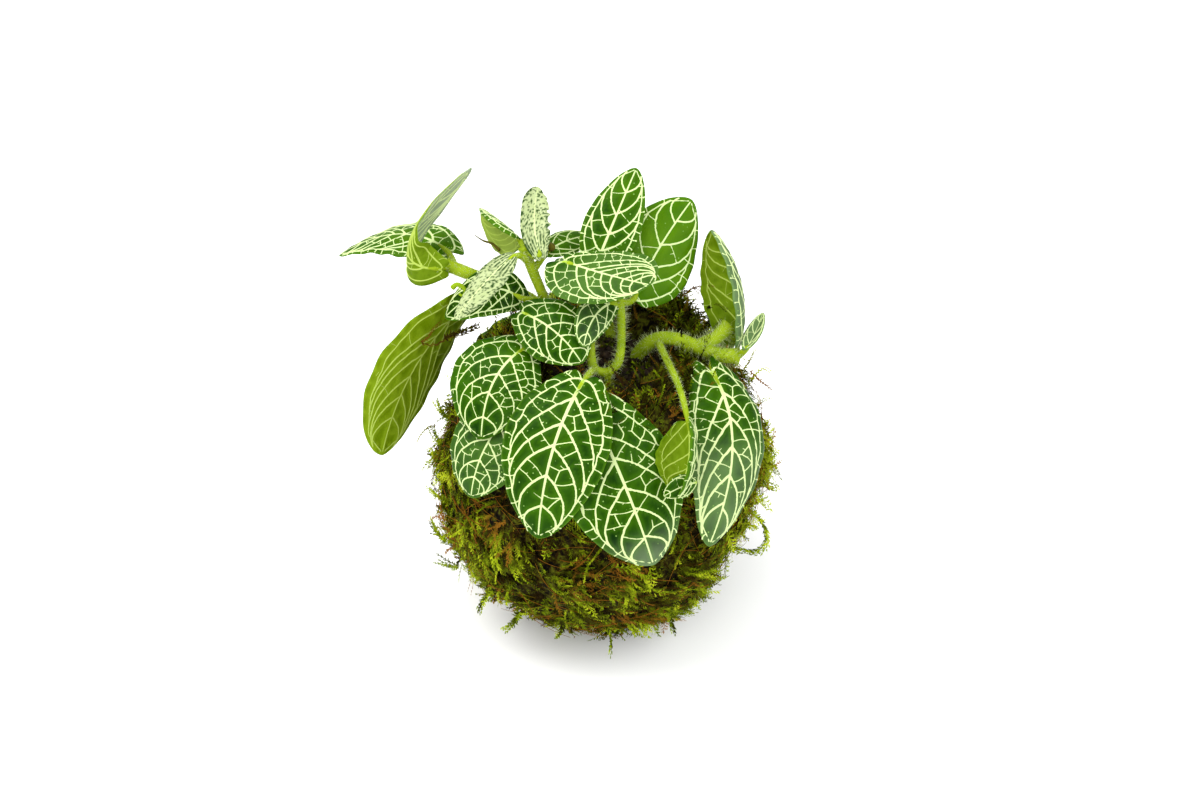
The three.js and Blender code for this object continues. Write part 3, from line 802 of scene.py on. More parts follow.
# %% Upper side finish
def blade_finish():
    """The upper side: deep green panels, lighter beside the veins, with specks, painted shade and
    a painted reflection.
    """
    material, tree, output = new_material("leaf_upper")
    skin = skin_nodes(tree, 70.0)
    panel, tone, rim, sheen = (
        attribute(tree, name) for name in ("panel", "tone", "rim", "sheen"))
    depth = remap(tree, skin.outputs["Patches"], 0.0, 1.0, 0.3, 0.7)
    green = blend(tree, depth, (0.001, 0.017, 0.000, 1), (0.016, 0.073, 0.000, 1))
    light = blend(tree, depth, (0.020, 0.095, 0.000, 1), (0.090, 0.200, 0.001, 1))
    green = blend(tree, tone, green, light)
    # Painted shade: a tone below zero darkens the green of leaves that lie in the shade of others.
    painted_shade = remap(tree, tone, 1.0, 0.0, -1.0, 0.0)
    green = blend(tree, painted_shade, green, (0.001, 0.008, 0.000, 1))
    beside_vein = blend(tree, 0.35, green, (0.06, 0.18, 0.002, 1))
    green = blend(tree, panel, beside_vein, green)
    green = blend(tree, rim, green, (0.06, 0.16, 0.004, 1))
    # Painted reflection: a pale grey-green laid on in patches where a glossy leaf shines.
    painted_reflection_share = maths(tree, "MULTIPLY", sheen, skin.outputs["Patches"])
    green = blend(tree, painted_reflection_share, green, (0.32, 0.40, 0.25, 1))
    green = blend(tree, skin.outputs["Specks"], green, (0.20, 0.36, 0.08, 1))
    rough = remap(tree, skin.outputs["Grain"], 0.22, 0.42)
    leafy_shader(tree, output, green, rough, skin.outputs["Grain"], 0.25, 0.12)
    return material


UPPER = blade_finish()
print("upper side,", len(UPPER.node_tree.nodes), "nodes")


# %% Underside finish
def underside_finish():
    """The underside is paler and matt. Some leaves get painted shade there, and one is paler
    still.
    """
    material, tree, output = new_material("leaf_under")
    skin = skin_nodes(tree, 300.0)
    panel = attribute(tree, "panel")
    green = blend(tree, skin.outputs["Patches"], (0.14, 0.25, 0.001, 1), (0.25, 0.37, 0.003, 1))
    green = blend(tree, panel, (0.28, 0.42, 0.012, 1), green)
    # Painted shade on the underside of leaves that lie in shadow.
    green = blend(tree, attribute(tree, "shade"), green, (0.04, 0.11, 0.001, 1))
    green = blend(tree, attribute(tree, "pale"), green, (0.36, 0.46, 0.12, 1))
    leafy_shader(tree, output, green, 0.55, skin.outputs["Grain"], 0.3, 0.3)
    return material


UNDER = underside_finish()
print("underside,", len(UNDER.node_tree.nodes), "nodes")


# %% Young leaf finish
def young_finish():
    """The youngest leaves are nearly all vein, with small dark green panels between."""
    material, tree, output = new_material("leaf_young")
    skin = skin_nodes(tree, 400.0)
    panel = attribute(tree, "panel")
    pale = blend(tree, skin.outputs["Patches"], (0.34, 0.44, 0.15, 1), (0.56, 0.62, 0.36, 1))
    dark = blend(tree, skin.outputs["Patches"], (0.004, 0.024, 0.000, 1), (0.03, 0.10, 0.004, 1))
    colour = blend(tree, panel, pale, dark)
    leafy_shader(tree, output, colour, 0.5, skin.outputs["Grain"], 0.3, 0.2, 0.2)
    return material


YOUNG = young_finish()
print("young leaf,", len(YOUNG.node_tree.nodes), "nodes")


# %% Vein finishes
def patchy_finish(name, scale, dark, light, roughness, bump, through, gloss, young=None):
    """Two colours in soft patches. A vein takes its young colour where it leaves the stalk."""
    material, tree, output = new_material(name)
    skin = skin_nodes(tree, scale)
    colour = blend(tree, skin.outputs["Patches"], dark, light)
    if young:
        colour = blend(tree, attribute(tree, "young"), colour, young)
    leafy_shader(tree, output, colour, roughness, skin.outputs["Grain"], bump, through, gloss)
    return material


VEIN = patchy_finish("vein_white", 500.0, (0.558, 0.666, 0.306, 1), (0.62, 0.74, 0.34, 1),
                     0.42, 0.15, 0.12, 0.1, young=(0.34, 0.50, 0.03, 1))
VEIN_UNDER = patchy_finish("vein_under", 500.0, (0.414, 0.54, 0.09, 1), (0.46, 0.60, 0.10, 1),
                           0.42, 0.15, 0.2, 0.1, young=(0.34, 0.48, 0.03, 1))
print("5 leaf finishes")


# %% Stem, hair and dry finishes
# Stems are juicy and bright, hairs nearly white, and dried scales and buds brown.
STEM = patchy_finish("stem_skin", 260.0, (0.13, 0.23, 0.002, 1), (0.42, 0.55, 0.013, 1),
                     0.42, 0.3, 0.2, 0.12)
HAIR = patchy_finish("white_hair", 300.0, (0.62, 0.74, 0.26, 1), (0.90, 0.93, 0.68, 1),
                     0.5, 0.1, 0.4, 0.04)
DRY = patchy_finish("dry_scale", 900.0, (0.020, 0.022, 0.002, 1), (0.14, 0.12, 0.010, 1),
                    0.6, 0.4, 0.05, 0.04)
print("3 stem finishes")


# %% [markdown]
# ## Making a leaf
# The blade starts as a flat grid that is extruded once, so that it has an upper side, an
# underside and a rim. Every point is then moved to its place by the blade formula. The
# panels between the veins puff up a little, as on the real leaf. Each vein is a narrow
# grid that is laid along its path, raised in its middle and sunk into the blade at its
# edges. The folded leaf gets a second, narrow blade for the part that is turned over.

# %% Shared piece helpers
TRIANGLES = {}


def add_piece(name, bm, materials, nodes=()):
    """Makes an object of the mesh, lets it ride on the model and stand for its plain nodes."""
    mesh = bpy.data.meshes.new(name)
    bm.to_mesh(mesh)
    bm.free()
    for material in materials:
        mesh.materials.append(material)
    mesh.shade_smooth()
    piece = bpy.data.objects.new(name, mesh)
    bpy.context.scene.collection.objects.link(piece)
    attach(piece, "root")
    if nodes:
        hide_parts(*nodes)
    TRIANGLES[name] = sum(len(face.vertices) - 2 for face in mesh.polygons)


def set_places(verts, places):
    """Moves vertices to places that are given in millimetres."""
    for vert, place in zip(verts, places * MM):
        vert.co = place


def join(bm, part):
    """Adds a finished part to a mesh in the making."""
    mesh = bpy.data.meshes.new("part")
    part.to_mesh(mesh)
    part.free()
    bm.from_mesh(mesh)
    bpy.data.meshes.remove(mesh)


print("pieces so far:", len(TRIANGLES))


# %% Rods
def cut_long_edges(rod, cuts):
    """Cuts the edges between the two ends of a straight rod, so that it can bend."""
    long_edges = [edge for edge in rod.edges
                  if abs(edge.verts[0].co.z - edge.verts[1].co.z) > 1]
    bmesh.ops.subdivide_edges(rod, edges=long_edges, cuts=cuts)


def curved_rod(bm, points, radii, sides, material=0):
    """A closed rod along points, in millimetres, with a radius at each of them."""
    points = np.array(points, float)
    rings = len(points)
    rod = bmesh.new()
    bmesh.ops.create_cone(rod, cap_ends=True, segments=sides, radius1=1, radius2=1, depth=2)
    cut_long_edges(rod, rings - 2)
    along = unit(np.gradient(points, axis=0))
    side = [unit(np.cross(along[0], (0.3, 0.5, 0.81)))]
    for direction in along[1:]:
        turned = side[-1] - direction * np.dot(side[-1], direction)
        side.append(unit(turned))
    side = np.array(side)
    front = np.cross(along, side)
    for vert in rod.verts:
        k = round((vert.co.z + 1) / 2 * (rings - 1))
        place = points[k] + radii[k] * (side[k] * vert.co.x + front[k] * vert.co.y)
        vert.co = Vector(place) * MM
    for face in rod.faces:
        face.material_index = material
    join(bm, rod)


print("rods start as a closed cone that is cut into rings")


# %% Vein samples
def vein_samples(leaf, veins):
    """Smooth paths of all veins, and a search tree of the places on them."""
    paths = []
    for points, first, last, main in veins:
        path = np.array(points) if main else smooth_path(points, 3)
        widths = np.linspace(first, last, len(path))
        paths.append((path, widths, main))
    places = np.concatenate([flat_place(leaf, path) for path, widths, main in paths])
    halves = np.concatenate([widths / 2 for path, widths, main in paths])
    search = kdtree.KDTree(len(places))
    for k, place in enumerate(places):
        search.insert((place[0], place[1], 0), k)
    search.balance()
    return paths, halves, search


def dense(path, widths, leaf, step):
    """Extra points on a path, so that no two are further apart than step millimetres."""
    marks = marks_along(flat_place(leaf, path))
    count = max(2, int(math.ceil(marks[-1] / step)) + 1)
    wanted = np.linspace(0, marks[-1], count)
    points = np.stack([np.interp(wanted, marks, path[:, k]) for k in (0, 1)], axis=-1)
    return points, np.interp(wanted, marks, widths)


line = np.array([[0.0, 0.0], [1.0, 0.0]])
print("points on a midrib:", len(dense(line, np.ones(2), FRONT, 0.9)[0]))


# %% Distance from the veins
def far_from_veins(leaf, u, v, search, halves):
    """How far each place is from the nearest vein's edge, in millimetres."""
    flat = flat_place(leaf, np.stack([u, v], axis=-1))
    gaps = np.empty(len(flat))
    for k, place in enumerate(flat):
        _, index, distance = search.find((place[0], place[1], 0))
        gaps[k] = distance - halves[index]
    return gaps


def soft_step(values, low, high):
    """0 below low, 1 above high, and a soft rise between them."""
    share = np.clip((values - low) / (high - low), 0, 1)
    return share * share * (3 - 2 * share)


print("halfway up a soft step:", soft_step(0.5, 0.0, 1.0))


# %% Vein strips
BLADE_THICKNESS = 0.42
MAIN_RISE, FINE_RISE, VEIN_SINK = 0.17, 0.13, 0.06
MAIN_STEP, FINE_STEP = 0.9, 0.75
MAIN_BELOW, FINE_BELOW = 0.66, 0.4  # how much narrower veins are on the underside


def lay_veins(bm, leaf, paths, young_layer, upper, material):
    """Narrow strips along the veins, on the upper side or the underside."""
    sign = 1 if upper else -1
    for path, widths, main in paths:
        path, widths = dense(path, widths, leaf, MAIN_STEP if main else FINE_STEP)
        widths = widths * (1 if upper else MAIN_BELOW if main else FINE_BELOW)
        u, v = path[:, 0], path[:, 1]
        centre = blade(leaf, u, v)
        normal = blade_normal(leaf, u, v) * sign
        along = unit(np.gradient(centre, axis=0) + 1e-9)
        side = unit(np.cross(normal, along))
        made = bmesh.ops.create_grid(bm, x_segments=2, y_segments=len(path) - 1, size=1)
        for vert in made["verts"]:
            k = min(len(path) - 1, round((vert.co.y + 1) / 2 * (len(path) - 1)))
            x = vert.co.x
            height = MAIN_RISE if main else FINE_RISE
            height = BLADE_THICKNESS / 2 + (height * (1 - x * x) - VEIN_SINK * x * x)
            place = centre[k] + side[k] * (-x * widths[k] / 2) + normal[k] * height
            vert.co = Vector(place) * MM
            near_stalk = float(np.clip(1 - u[k] / 0.16, 0, 1))
            vert[young_layer] = near_stalk * main * (abs(v[k]) < 0.1)
        for face in {face for vert in made["verts"] for face in vert.link_faces}:
            face.material_index = material


print("veins are strips, sunk", VEIN_SINK, "mm at their edges")


# %% Young leaves
def young_panel(u, v, places):
    """Dark streaks fan out at the base of a young leaf and break up into small dots."""
    grain = np.array([noise.noise(Vector(place) * 2.1) for place in places])
    streaks = soft_step(np.cos(2 * np.pi * (4.2 * np.abs(v) - 1.2 * u)), -0.4, 0.1)
    streaks *= grain > -0.25
    dots = soft_step(grain, 0.06 + 0.12 * u, 0.18 + 0.12 * u)
    edge = soft_step(np.abs(v), 0.80, 0.90) * soft_step(grain, -0.1, 0.05)
    base = 1 - soft_step(u, 0.20, 0.45)
    return np.clip(base * streaks + (1 - base) * dots + edge, 0, 1)


def crinkled(u, v, amount):
    """The margin of a leaf that is still unrolling is frilled, and its tip is blunt."""
    frill = 0.10 * np.sin(44 * u) + 0.06 * np.sin(71 * u + 1)
    blunt = 0.40 * soft_step(u, 0.55, 0.93)
    return v * (1 + amount * (frill * soft_step(v, 0.3, 0.9) + blunt))


print("a frilled margin:", np.round(crinkled(np.linspace(0.2, 0.8, 3), 1.0, 1), 2))


# %% Flat sheet
def sheet(columns, rows):
    """A flat sheet with an upper side, an underside and a rim, and where its points lie."""
    bm = bmesh.new()
    keys = ("panel", "tone", "rim", "sheen", "shade", "pale", "young")
    layers = {key: bm.verts.layers.float.new(key) for key in keys}
    bmesh.ops.create_grid(bm, x_segments=columns, y_segments=rows, size=1)
    raised = bmesh.ops.extrude_face_region(bm, geom=bm.faces[:], use_keep_orig=True)
    top = [part for part in raised["geom"] if isinstance(part, bmesh.types.BMVert)]
    bmesh.ops.translate(bm, verts=top, vec=(0, 0, 1))
    bmesh.ops.recalc_face_normals(bm, faces=bm.faces)
    for face in bm.faces:
        face.material_index = 1 if face.normal.z < -0.5 else 0
    return bm, layers, np.array([vert.co for vert in bm.verts])


print("a sheet of 10 by 16 has", len(sheet(10, 16)[2]), "points")


# %% Growing a blade
BLADE_STEP, YOUNG_STEP = 0.78, 0.3
PANEL_RISE, YOUNG_RISE = 0.34, 0.12


def grown_blade(leaf, draw):
    """The blade of one leaf with its veins, in a mesh of its own."""
    veins, size = leaf_veins(leaf, draw)
    young = leaf.get("young", False)
    paths, halves, search = vein_samples(leaf, veins)
    step = YOUNG_STEP if young else BLADE_STEP
    rows = max(16, int(leaf["length"] / step))
    bm, layers, flat = sheet(max(10, int(leaf["width"] / step)), rows)
    verts = bm.verts[:]
    u = (1 - np.cos(np.pi * (flat[:, 1] + 1) / 2)) / 2
    v = flat[:, 0]
    if young:
        panel = young_panel(u, v, blade(leaf, u, v))
        v = crinkled(u, v, leaf.get("crinkle", 0))
    else:
        panel = soft_step(far_from_veins(leaf, u, v, search, halves), 0.05, 1.25 * size)
    edge = np.clip(1 - np.abs(v), 0, 1)
    ease = soft_step(edge, 0.0, 0.12) * soft_step(1 - u, 0.0, 0.04)
    relief = (YOUNG_RISE if young else PANEL_RISE * size) * panel * ease
    thickness = BLADE_THICKNESS * (0.35 + 0.65 * soft_step(edge, 0.0, 0.06))
    lift = relief + np.where(flat[:, 2] > 0.5, thickness / 2, -thickness / 2)
    set_places(verts, blade(leaf, u, v) + blade_normal(leaf, u, v) * lift[:, None])
    # Sheen is a painted reflection, laid on from a share of the way along the leaf.
    painted_reflection_share, start = leaf.get("sheen", (0.0, 0.0))
    shares = {
        "panel": panel,
        "tone": leaf.get("tone", 0.05) + 0.3 * np.exp(-(v / 0.25) ** 2) * (1 - u),
        "rim": 1 - soft_step(edge * half_width(leaf, u), 0.2, 0.9),
        "sheen": painted_reflection_share * soft_step(u, start, start + 0.25),
        "shade": [leaf.get("shade", 0.0)] * len(verts),
        "pale": [leaf.get("pale", 0.0)] * len(verts),
    }
    for key, values in shares.items():
        layer = layers[key]
        for vert, value in zip(verts, values):
            vert[layer] = value
    lay_veins(bm, leaf, paths, layers["young"], True, 2)
    below = [path for path in paths
             if path[2] or leaf.get("net_below") and draw.random() < 0.25]
    lay_veins(bm, leaf, below, layers["young"], False, 3)
    return bm


print("a blade is a sheet", BLADE_THICKNESS, "mm thick")


# %% All leaves
STALKS = []


def make_stalk(bm, leaf):
    """The stalk leaves the blade in line with the midrib and runs to the middle of the stem."""
    base, control = midrib(leaf)[:2]
    joint = np.array(leaf["joint"], float)
    start = blade(leaf, np.array([0.1]), np.array([0.0]))[0]
    reach = 0.35 * np.linalg.norm(joint - base)
    near = base - unit(control - base) * reach
    far = joint + (base - joint) * 0.35
    t = np.linspace(0, 1, 14)
    radii = np.interp(t, [0, 0.15, 1], [0.35, 0.85, 1.1])
    t = t[:, None]
    run = ((1 - t) ** 3 * start + 3 * t * (1 - t) ** 2 * near + 3 * t ** 2 * (1 - t) * far
           + t ** 3 * joint)
    curved_rod(bm, run, radii, 10, 4)
    STALKS.append((run, radii))


def make_leaf(name, leaf, seed):
    """A whole leaf: its blade, the part of it that is turned over, and its stalk."""
    draw = random.Random(seed)
    young = leaf.get("young", False)
    bm = grown_blade(leaf, draw)
    if "flap" in leaf:
        join(bm, grown_blade(leaf["flap"], draw))
    make_stalk(bm, leaf)
    finishes = [YOUNG if young else UPPER, YOUNG if young else UNDER, VEIN, VEIN_UNDER, STEM]
    add_piece("blade_" + name, bm, finishes, ["leaf_" + name])


for seed, (name, leaf) in enumerate(LEAVES.items()):
    make_leaf(name, leaf, seed)
print(len(LEAVES), "leaves,", sum(TRIANGLES.values()), "triangles")


# %% [markdown]
# ## Stems
# The stems are juicy, bright and covered in short white hairs. Blender's own hair would
# be lost in the exported model, so each hair is a thin three-sided cone. A rod along a
# smooth run of points is the stem itself. It is a little uneven, and swells at its ends.

# %% Smooth runs
def spline(points, step):
    """A smooth run through the points that doesn't overshoot, with a place at each step."""
    points = np.array(points, float)
    runs = []
    for a, b, c, d in fours(points):
        ab, bc, cd = (math.sqrt(np.linalg.norm(q - p)) for p, q in ((a, b), (b, c), (c, d)))
        start = ((b - a) / ab - (c - a) / (ab + bc) + (c - b) / bc) * bc
        end = ((c - b) / bc - (d - b) / (bc + cd) + (d - c) / cd) * bc
        count = max(2, int(np.linalg.norm(c - b) / step))
        t = np.linspace(0, 1, count, endpoint=False)[:, None]
        runs.append(b + start * t + (3 * c - 3 * b - 2 * start - end) * t ** 2
                    + (2 * b - 2 * c + start + end) * t ** 3)
    return np.concatenate(runs + [points[-1:]])


print("places along the shoot:", len(spline(STEMS["shoot"][1][0], 1.3)))


# %% One hair
def hair_mesh():
    """One hair along +Z, of length 1."""
    bm = bmesh.new()
    bmesh.ops.create_cone(bm, cap_ends=False, segments=3, radius1=1, radius2=0.15, depth=1)
    bmesh.ops.translate(bm, verts=bm.verts, vec=(0, 0, 0.5))
    mesh = bpy.data.meshes.new("one_hair")
    bm.to_mesh(mesh)
    bm.free()
    return mesh


def add_copies(bm, shape, places):
    """Adds a copy of the mesh for each array of vertex places, given in millimetres."""
    for place in places:
        shape.vertices.foreach_set("co", (place * MM).astype(np.float32).ravel())
        bm.from_mesh(shape)


HAIR_DENSITY, HAIR_RADIUS = 2.2, 0.04
STEM_HAIR, STALK_HAIR = 1.7, 0.9  # their lengths
print("hairs of", STEM_HAIR, "mm on stems and", STALK_HAIR, "mm on stalks")


# %% Hairs on a rod
def hairs(bm, run, radii, length, draw, material):
    """Hairs that stand on a rod, spread at random."""
    shape = hair_mesh()
    for face in shape.polygons:
        face.material_index = material
    local = np.array([vert.co for vert in shape.vertices])
    along = unit(np.gradient(run, axis=0))
    side = unit(np.cross(along, (0.31, 0.52, 0.79)))
    front = np.cross(along, side)
    steps = np.linalg.norm(np.diff(run, axis=0), axis=1)
    marks = marks_along(run)
    count = int(HAIR_DENSITY * marks[-1] * 2 * math.pi * float(np.mean(radii)))
    places = []
    for _ in range(count):
        mark = draw.uniform(0, marks[-1])
        k = min(len(run) - 2, int(np.searchsorted(marks, mark, side="right")) - 1)
        share = (mark - marks[k]) / max(steps[k], 1e-6)
        angle = draw.uniform(0, 2 * math.pi)
        out = side[k] * math.cos(angle) + front[k] * math.sin(angle)
        root = run[k] + (run[k + 1] - run[k]) * share + out * radii[k] * 0.95
        lean = np.array([draw.uniform(-0.35, 0.35) for _ in range(3)])
        point = unit(out + lean + along[k] * 0.2)
        flat = unit(np.cross(point, (0.2, 0.4, 0.9)))
        other = np.cross(point, flat)
        tall = length * draw.uniform(0.6, 1.15)
        places.append(root + local[:, :1] * flat * HAIR_RADIUS
                      + local[:, 1:2] * other * HAIR_RADIUS + local[:, 2:] * point * tall)
    add_copies(bm, shape, places)
    bpy.data.meshes.remove(shape)


print("hairs on each square millimetre:", HAIR_DENSITY)


# %% All stems
draw = random.Random(5)
for name, (radius, runs) in STEMS.items():
    bm = bmesh.new()
    for points in runs:
        run = spline(points, 1.3)
        marks = np.linspace(0, 1, len(run))
        thick = np.interp(radius, [1.2, 1.7], [1.25, 2.1])  # as the photo shows them
        swelling = 0.25 * soft_step(np.abs(marks - 0.5), 0.46, 0.5)
        radii = thick * (1 + 0.06 * np.sin(9 * marks) + swelling)
        curved_rod(bm, run, radii, 14)
        hairs(bm, run, radii, STEM_HAIR, draw, 1)
    add_piece("stalk_" + name, bm, [STEM, HAIR], ["stem_" + name])
print(len(STEMS), "stems,", sum(TRIANGLES.values()), "triangles so far")


# %% [markdown]
# ## Small growths and the hairs of the stalks
# Three things of a few millimetres show between the leaves: a dry stipule, a brown bud
# and a leaf that has only just begun to unroll. Each is a rod along its own bend. The
# stalks of the leaves get their hairs here, shorter than those of the stems.

# %% Small growths
def small_parts():
    """A dry stipule with its fork, a brown bud and a curled young leaf."""
    bm = bmesh.new()
    stipule = spline([(-36.8, 21.1, 114.6), (-34.0, 20.0, 113.2), (-31.7, 20.0, 112.3),
                      (-29.5, 17.8, 111.5)], 0.7)
    fork = stipule[4:9] + np.array([[0, -0.2, 0.25]]) * np.arange(5)[:, None]
    bud = spline([(-14.6, 15.2, 113.8), (-14.7, 14.0, 115.2), (-15.2, 12.8, 116.6),
                  (-15.4, 12.4, 117.4)], 0.5)
    curl = spline([(-42.6, 5.9, 106.9), (-41.4, 5.8, 108.1), (-39.8, 5.3, 107.8),
                   (-38.9, 4.5, 106.4), (-39.8, 4.0, 105.5), (-40.7, 4.3, 106.0)], 0.4)
    curved_rod(bm, stipule, np.linspace(0.12, 0.5, len(stipule)), 6)
    curved_rod(bm, fork, [0.3, 0.25, 0.2, 0.15, 0.1], 6)
    curved_rod(bm, bud, 1.3 * np.sin(np.linspace(0.25, 3.0, len(bud))) ** 0.7, 10)
    curved_rod(bm, curl, np.linspace(0.8, 0.35, len(curl)), 8, 1)
    add_piece("small_parts", bm, [DRY, UNDER])


small_parts()
bm = bmesh.new()
for run, radii in STALKS:
    hairs(bm, run[2:], radii[2:], STALK_HAIR, draw, 0)
add_piece("stalk_hairs", bm, [HAIR])
print("small growths,", TRIANGLES["small_parts"], "triangles")


# %% [markdown]
# ## Moss finishes
# Living moss has every tone from the dark brown of old fronds to yellow-green at the tips,
# with rusty stalks between. One ramp of colours does for all of it. Each frond has its own
# place on the ramp, in its tone attribute, and grows lighter towards its tip, in the
# attribute tip. Its tone also carries painted shade, darker in the creases between clumps,
# and painted light, brighter towards the left and right sides. Soft patches in Object
# coordinates join fronds to clumps.

# %% Moss materials
MOSS_RAMP = [
    (0.00, (0.004, 0.003, 0.000, 1)), (0.20, (0.014, 0.012, 0.000, 1)),
    (0.40, (0.042, 0.052, 0.001, 1)), (0.60, (0.115, 0.165, 0.002, 1)),
    (0.80, (0.260, 0.350, 0.005, 1)), (1.00, (0.480, 0.560, 0.020, 1)),
]


def ramp(tree, value, stops):
    """A colour from a row of stops, each a place from 0 to 1 and its colour."""
    made = node(tree, "ValToRGB", {"Fac": value})
    elements = made.color_ramp.elements
    while len(elements) < len(stops):
        elements.new(0.5)
    for element, (place, colour) in zip(elements, stops):
        element.position = place
        element.color = colour
    return made.outputs["Color"]


def moss_finish():
    """Fronds: tone, tip and soft patches add up to a place on the ramp."""
    material, tree, output = new_material("moss_fronds")
    place = object_place(tree)
    fine = noise_at(tree, place, 900.0, 2.0)
    tip = maths(tree, "MULTIPLY", attribute(tree, "tip"), 0.42)
    patch = remap(tree, noise_at(tree, place, 240.0, 4.0), -0.36, 0.26, 0.3, 0.7)
    # The frond's tone holds painted shade in the creases and painted light at the sides.
    level = maths(tree, "ADD", maths(tree, "ADD", attribute(tree, "tone"), tip), patch)
    green = ramp(tree, level, MOSS_RAMP)
    rust = blend(tree, fine, (0.06, 0.024, 0.002, 1), (0.42, 0.180, 0.016, 1))
    colour = blend(tree, attribute(tree, "rust"), green, rust)
    leafy_shader(tree, output, colour, 0.62, fine, 0.4, 0.2)
    return material


MOSS = moss_finish()
print("moss finish,", len(MOSS.node_tree.nodes), "nodes")


# %% Bed and soil finishes
def ground_finish(name, stops, pattern, relief, roughness, gloss):
    """Dull ground with a ramp of colours. Pattern is the scale, detail and distortion of
    its patches. Relief is the scale of its crumbs, or 0 for none, its strength and depth."""
    material, tree, output = new_material(name)
    place = object_place(tree)
    patches = noise_at(tree, place, *pattern)
    crumbs, strength, depth = relief
    height = patches
    if crumbs:
        height = node(tree, "TexVoronoi", {"Vector": place, "Scale": crumbs}).outputs["Distance"]
    bump = node(tree, "Bump", {"Height": height, "Strength": strength, "Distance": depth})
    skin = node(tree, "BsdfPrincipled", {
        "Base Color": ramp(tree, patches, stops), "Roughness": roughness,
        "Specular IOR Level": gloss, "Normal": bump.outputs["Normal"]})
    tree.links.new(skin.outputs["BSDF"], output.inputs["Surface"])
    return material


# The bed is the dark felt of old moss that shows in the gaps between fronds. Its
# near-black colours are also painted shade in those gaps. The soil is damp and nearly
# black, with brown crumbs.
BED = ground_finish("moss_bed", [
    (0.42, (0.003, 0.002, 0.001, 1)), (0.52, (0.022, 0.016, 0.002, 1)),
    (0.62, (0.060, 0.062, 0.004, 1)), (0.75, (0.120, 0.140, 0.008, 1)),
], (420.0, 6.0, 1.2), (0, 1.0, 0.002), 0.9, 0.05)
SOIL = ground_finish("damp_soil", [
    (0.3, (0.005, 0.003, 0.002, 1)), (0.6, (0.028, 0.016, 0.008, 1)),
    (0.8, (0.075, 0.045, 0.020, 1)),
], (400.0, 4.0, 0.0), (700.0, 0.7, 0.0006), 0.75, 0.15)
print("3 moss and soil finishes")


# %% [markdown]
# ## The bed under the moss
# Fronds alone would let light through the ball. Under them lies a dark bed: a ball that
# swells into round clumps as the measured moss does, is pressed flat where it stands and
# dips into the crown, where the stems come out. Rough soil fills that crown. The moss is
# piled a little higher behind the stems, and flatter low on the right, as in the photo.

# %% Measures of the ball
CENTRE = np.array([0.0, 0.0, 47.0])
BED_RADIUS = 46.0
CLUMP_HEIGHT = 3.2
FOOT_RADIUS = 15.0
SOIL_RADIUS, SOIL_TOP = 41.5, 83.6
CROWN_RADIUS, CROWN_RIM, CROWN_FLOOR = 15, 23, 82.5
GOLDEN = math.pi * (3 - math.sqrt(5))  # the turn that spreads places most evenly


def spread(count, highest, lowest, draw):
    """Directions spread evenly over a band of a ball, each a little off its place."""
    places = []
    for i in range(count):
        height = highest - (highest - lowest) * (i + 0.5) / count
        angle = i * GOLDEN + draw.random() * 0.3
        flat = math.sqrt(1 - height * height)
        places.append((flat * math.cos(angle), flat * math.sin(angle), height))
    return np.array(places)


print("the bed is", 2 * BED_RADIUS, "mm across")


# %% Keeping clear of leaves
ROWS, COLUMNS = 34, 19
LEAF_TREE = kdtree.KDTree(len(LEAVES) * ROWS * COLUMNS)
across, along = np.meshgrid(np.linspace(-1, 1, COLUMNS), np.linspace(0, 1, ROWS))
for leaf in LEAVES.values():
    for place in blade(leaf, along.ravel(), across.ravel()):
        LEAF_TREE.insert(place, 0)
LEAF_TREE.balance()


def keeps_clear(place, gap):
    """True where a point is further than gap millimetres from every leaf."""
    return LEAF_TREE.find(place)[2] > gap


print("places on leaves:", len(LEAVES) * ROWS * COLUMNS)


# %% Clumps
clump_draw = random.Random(3)
CLUMPS = spread(170, 0.95, -0.95, clump_draw)
CLUMP_SIZES = np.array([
    0.5 + 0.5 * clump_draw.random() if keeps_clear(CENTRE + out * 50, 9) else 0.2
    for out in CLUMPS])


def clump_height(directions):
    """0 in the creases between clumps, up to 1 on top of the highest ones."""
    gaps = np.linalg.norm(directions[:, None, :] - CLUMPS[None, :, :], axis=2)
    heights = CLUMP_SIZES[None, :] - (gaps / 0.2) ** 2
    return np.clip(heights.max(axis=1), 0, 1)


def swelling(directions, middle, height, breadth):
    """A soft swelling of the ball around one direction."""
    gaps = np.linalg.norm(directions - unit(np.array(middle)), axis=1)
    return height * np.exp(-(gaps / breadth) ** 2)


def mound(directions):
    """The moss is piled a little higher behind the stems."""
    return swelling(directions, [0.36, 0.50, 0.78], 3.5, 0.3)


def hollow(directions):
    """The ball is a little flatter low on its right side."""
    return swelling(directions, [0.84, -0.34, -0.43], 6.0, 0.40)


def moss_radius(directions):
    """How far the bed reaches in each direction, in millimetres."""
    clumps = CLUMP_HEIGHT * clump_height(directions)
    return BED_RADIUS + clumps + mound(directions) - hollow(directions)


print("clumps:", len(CLUMPS))


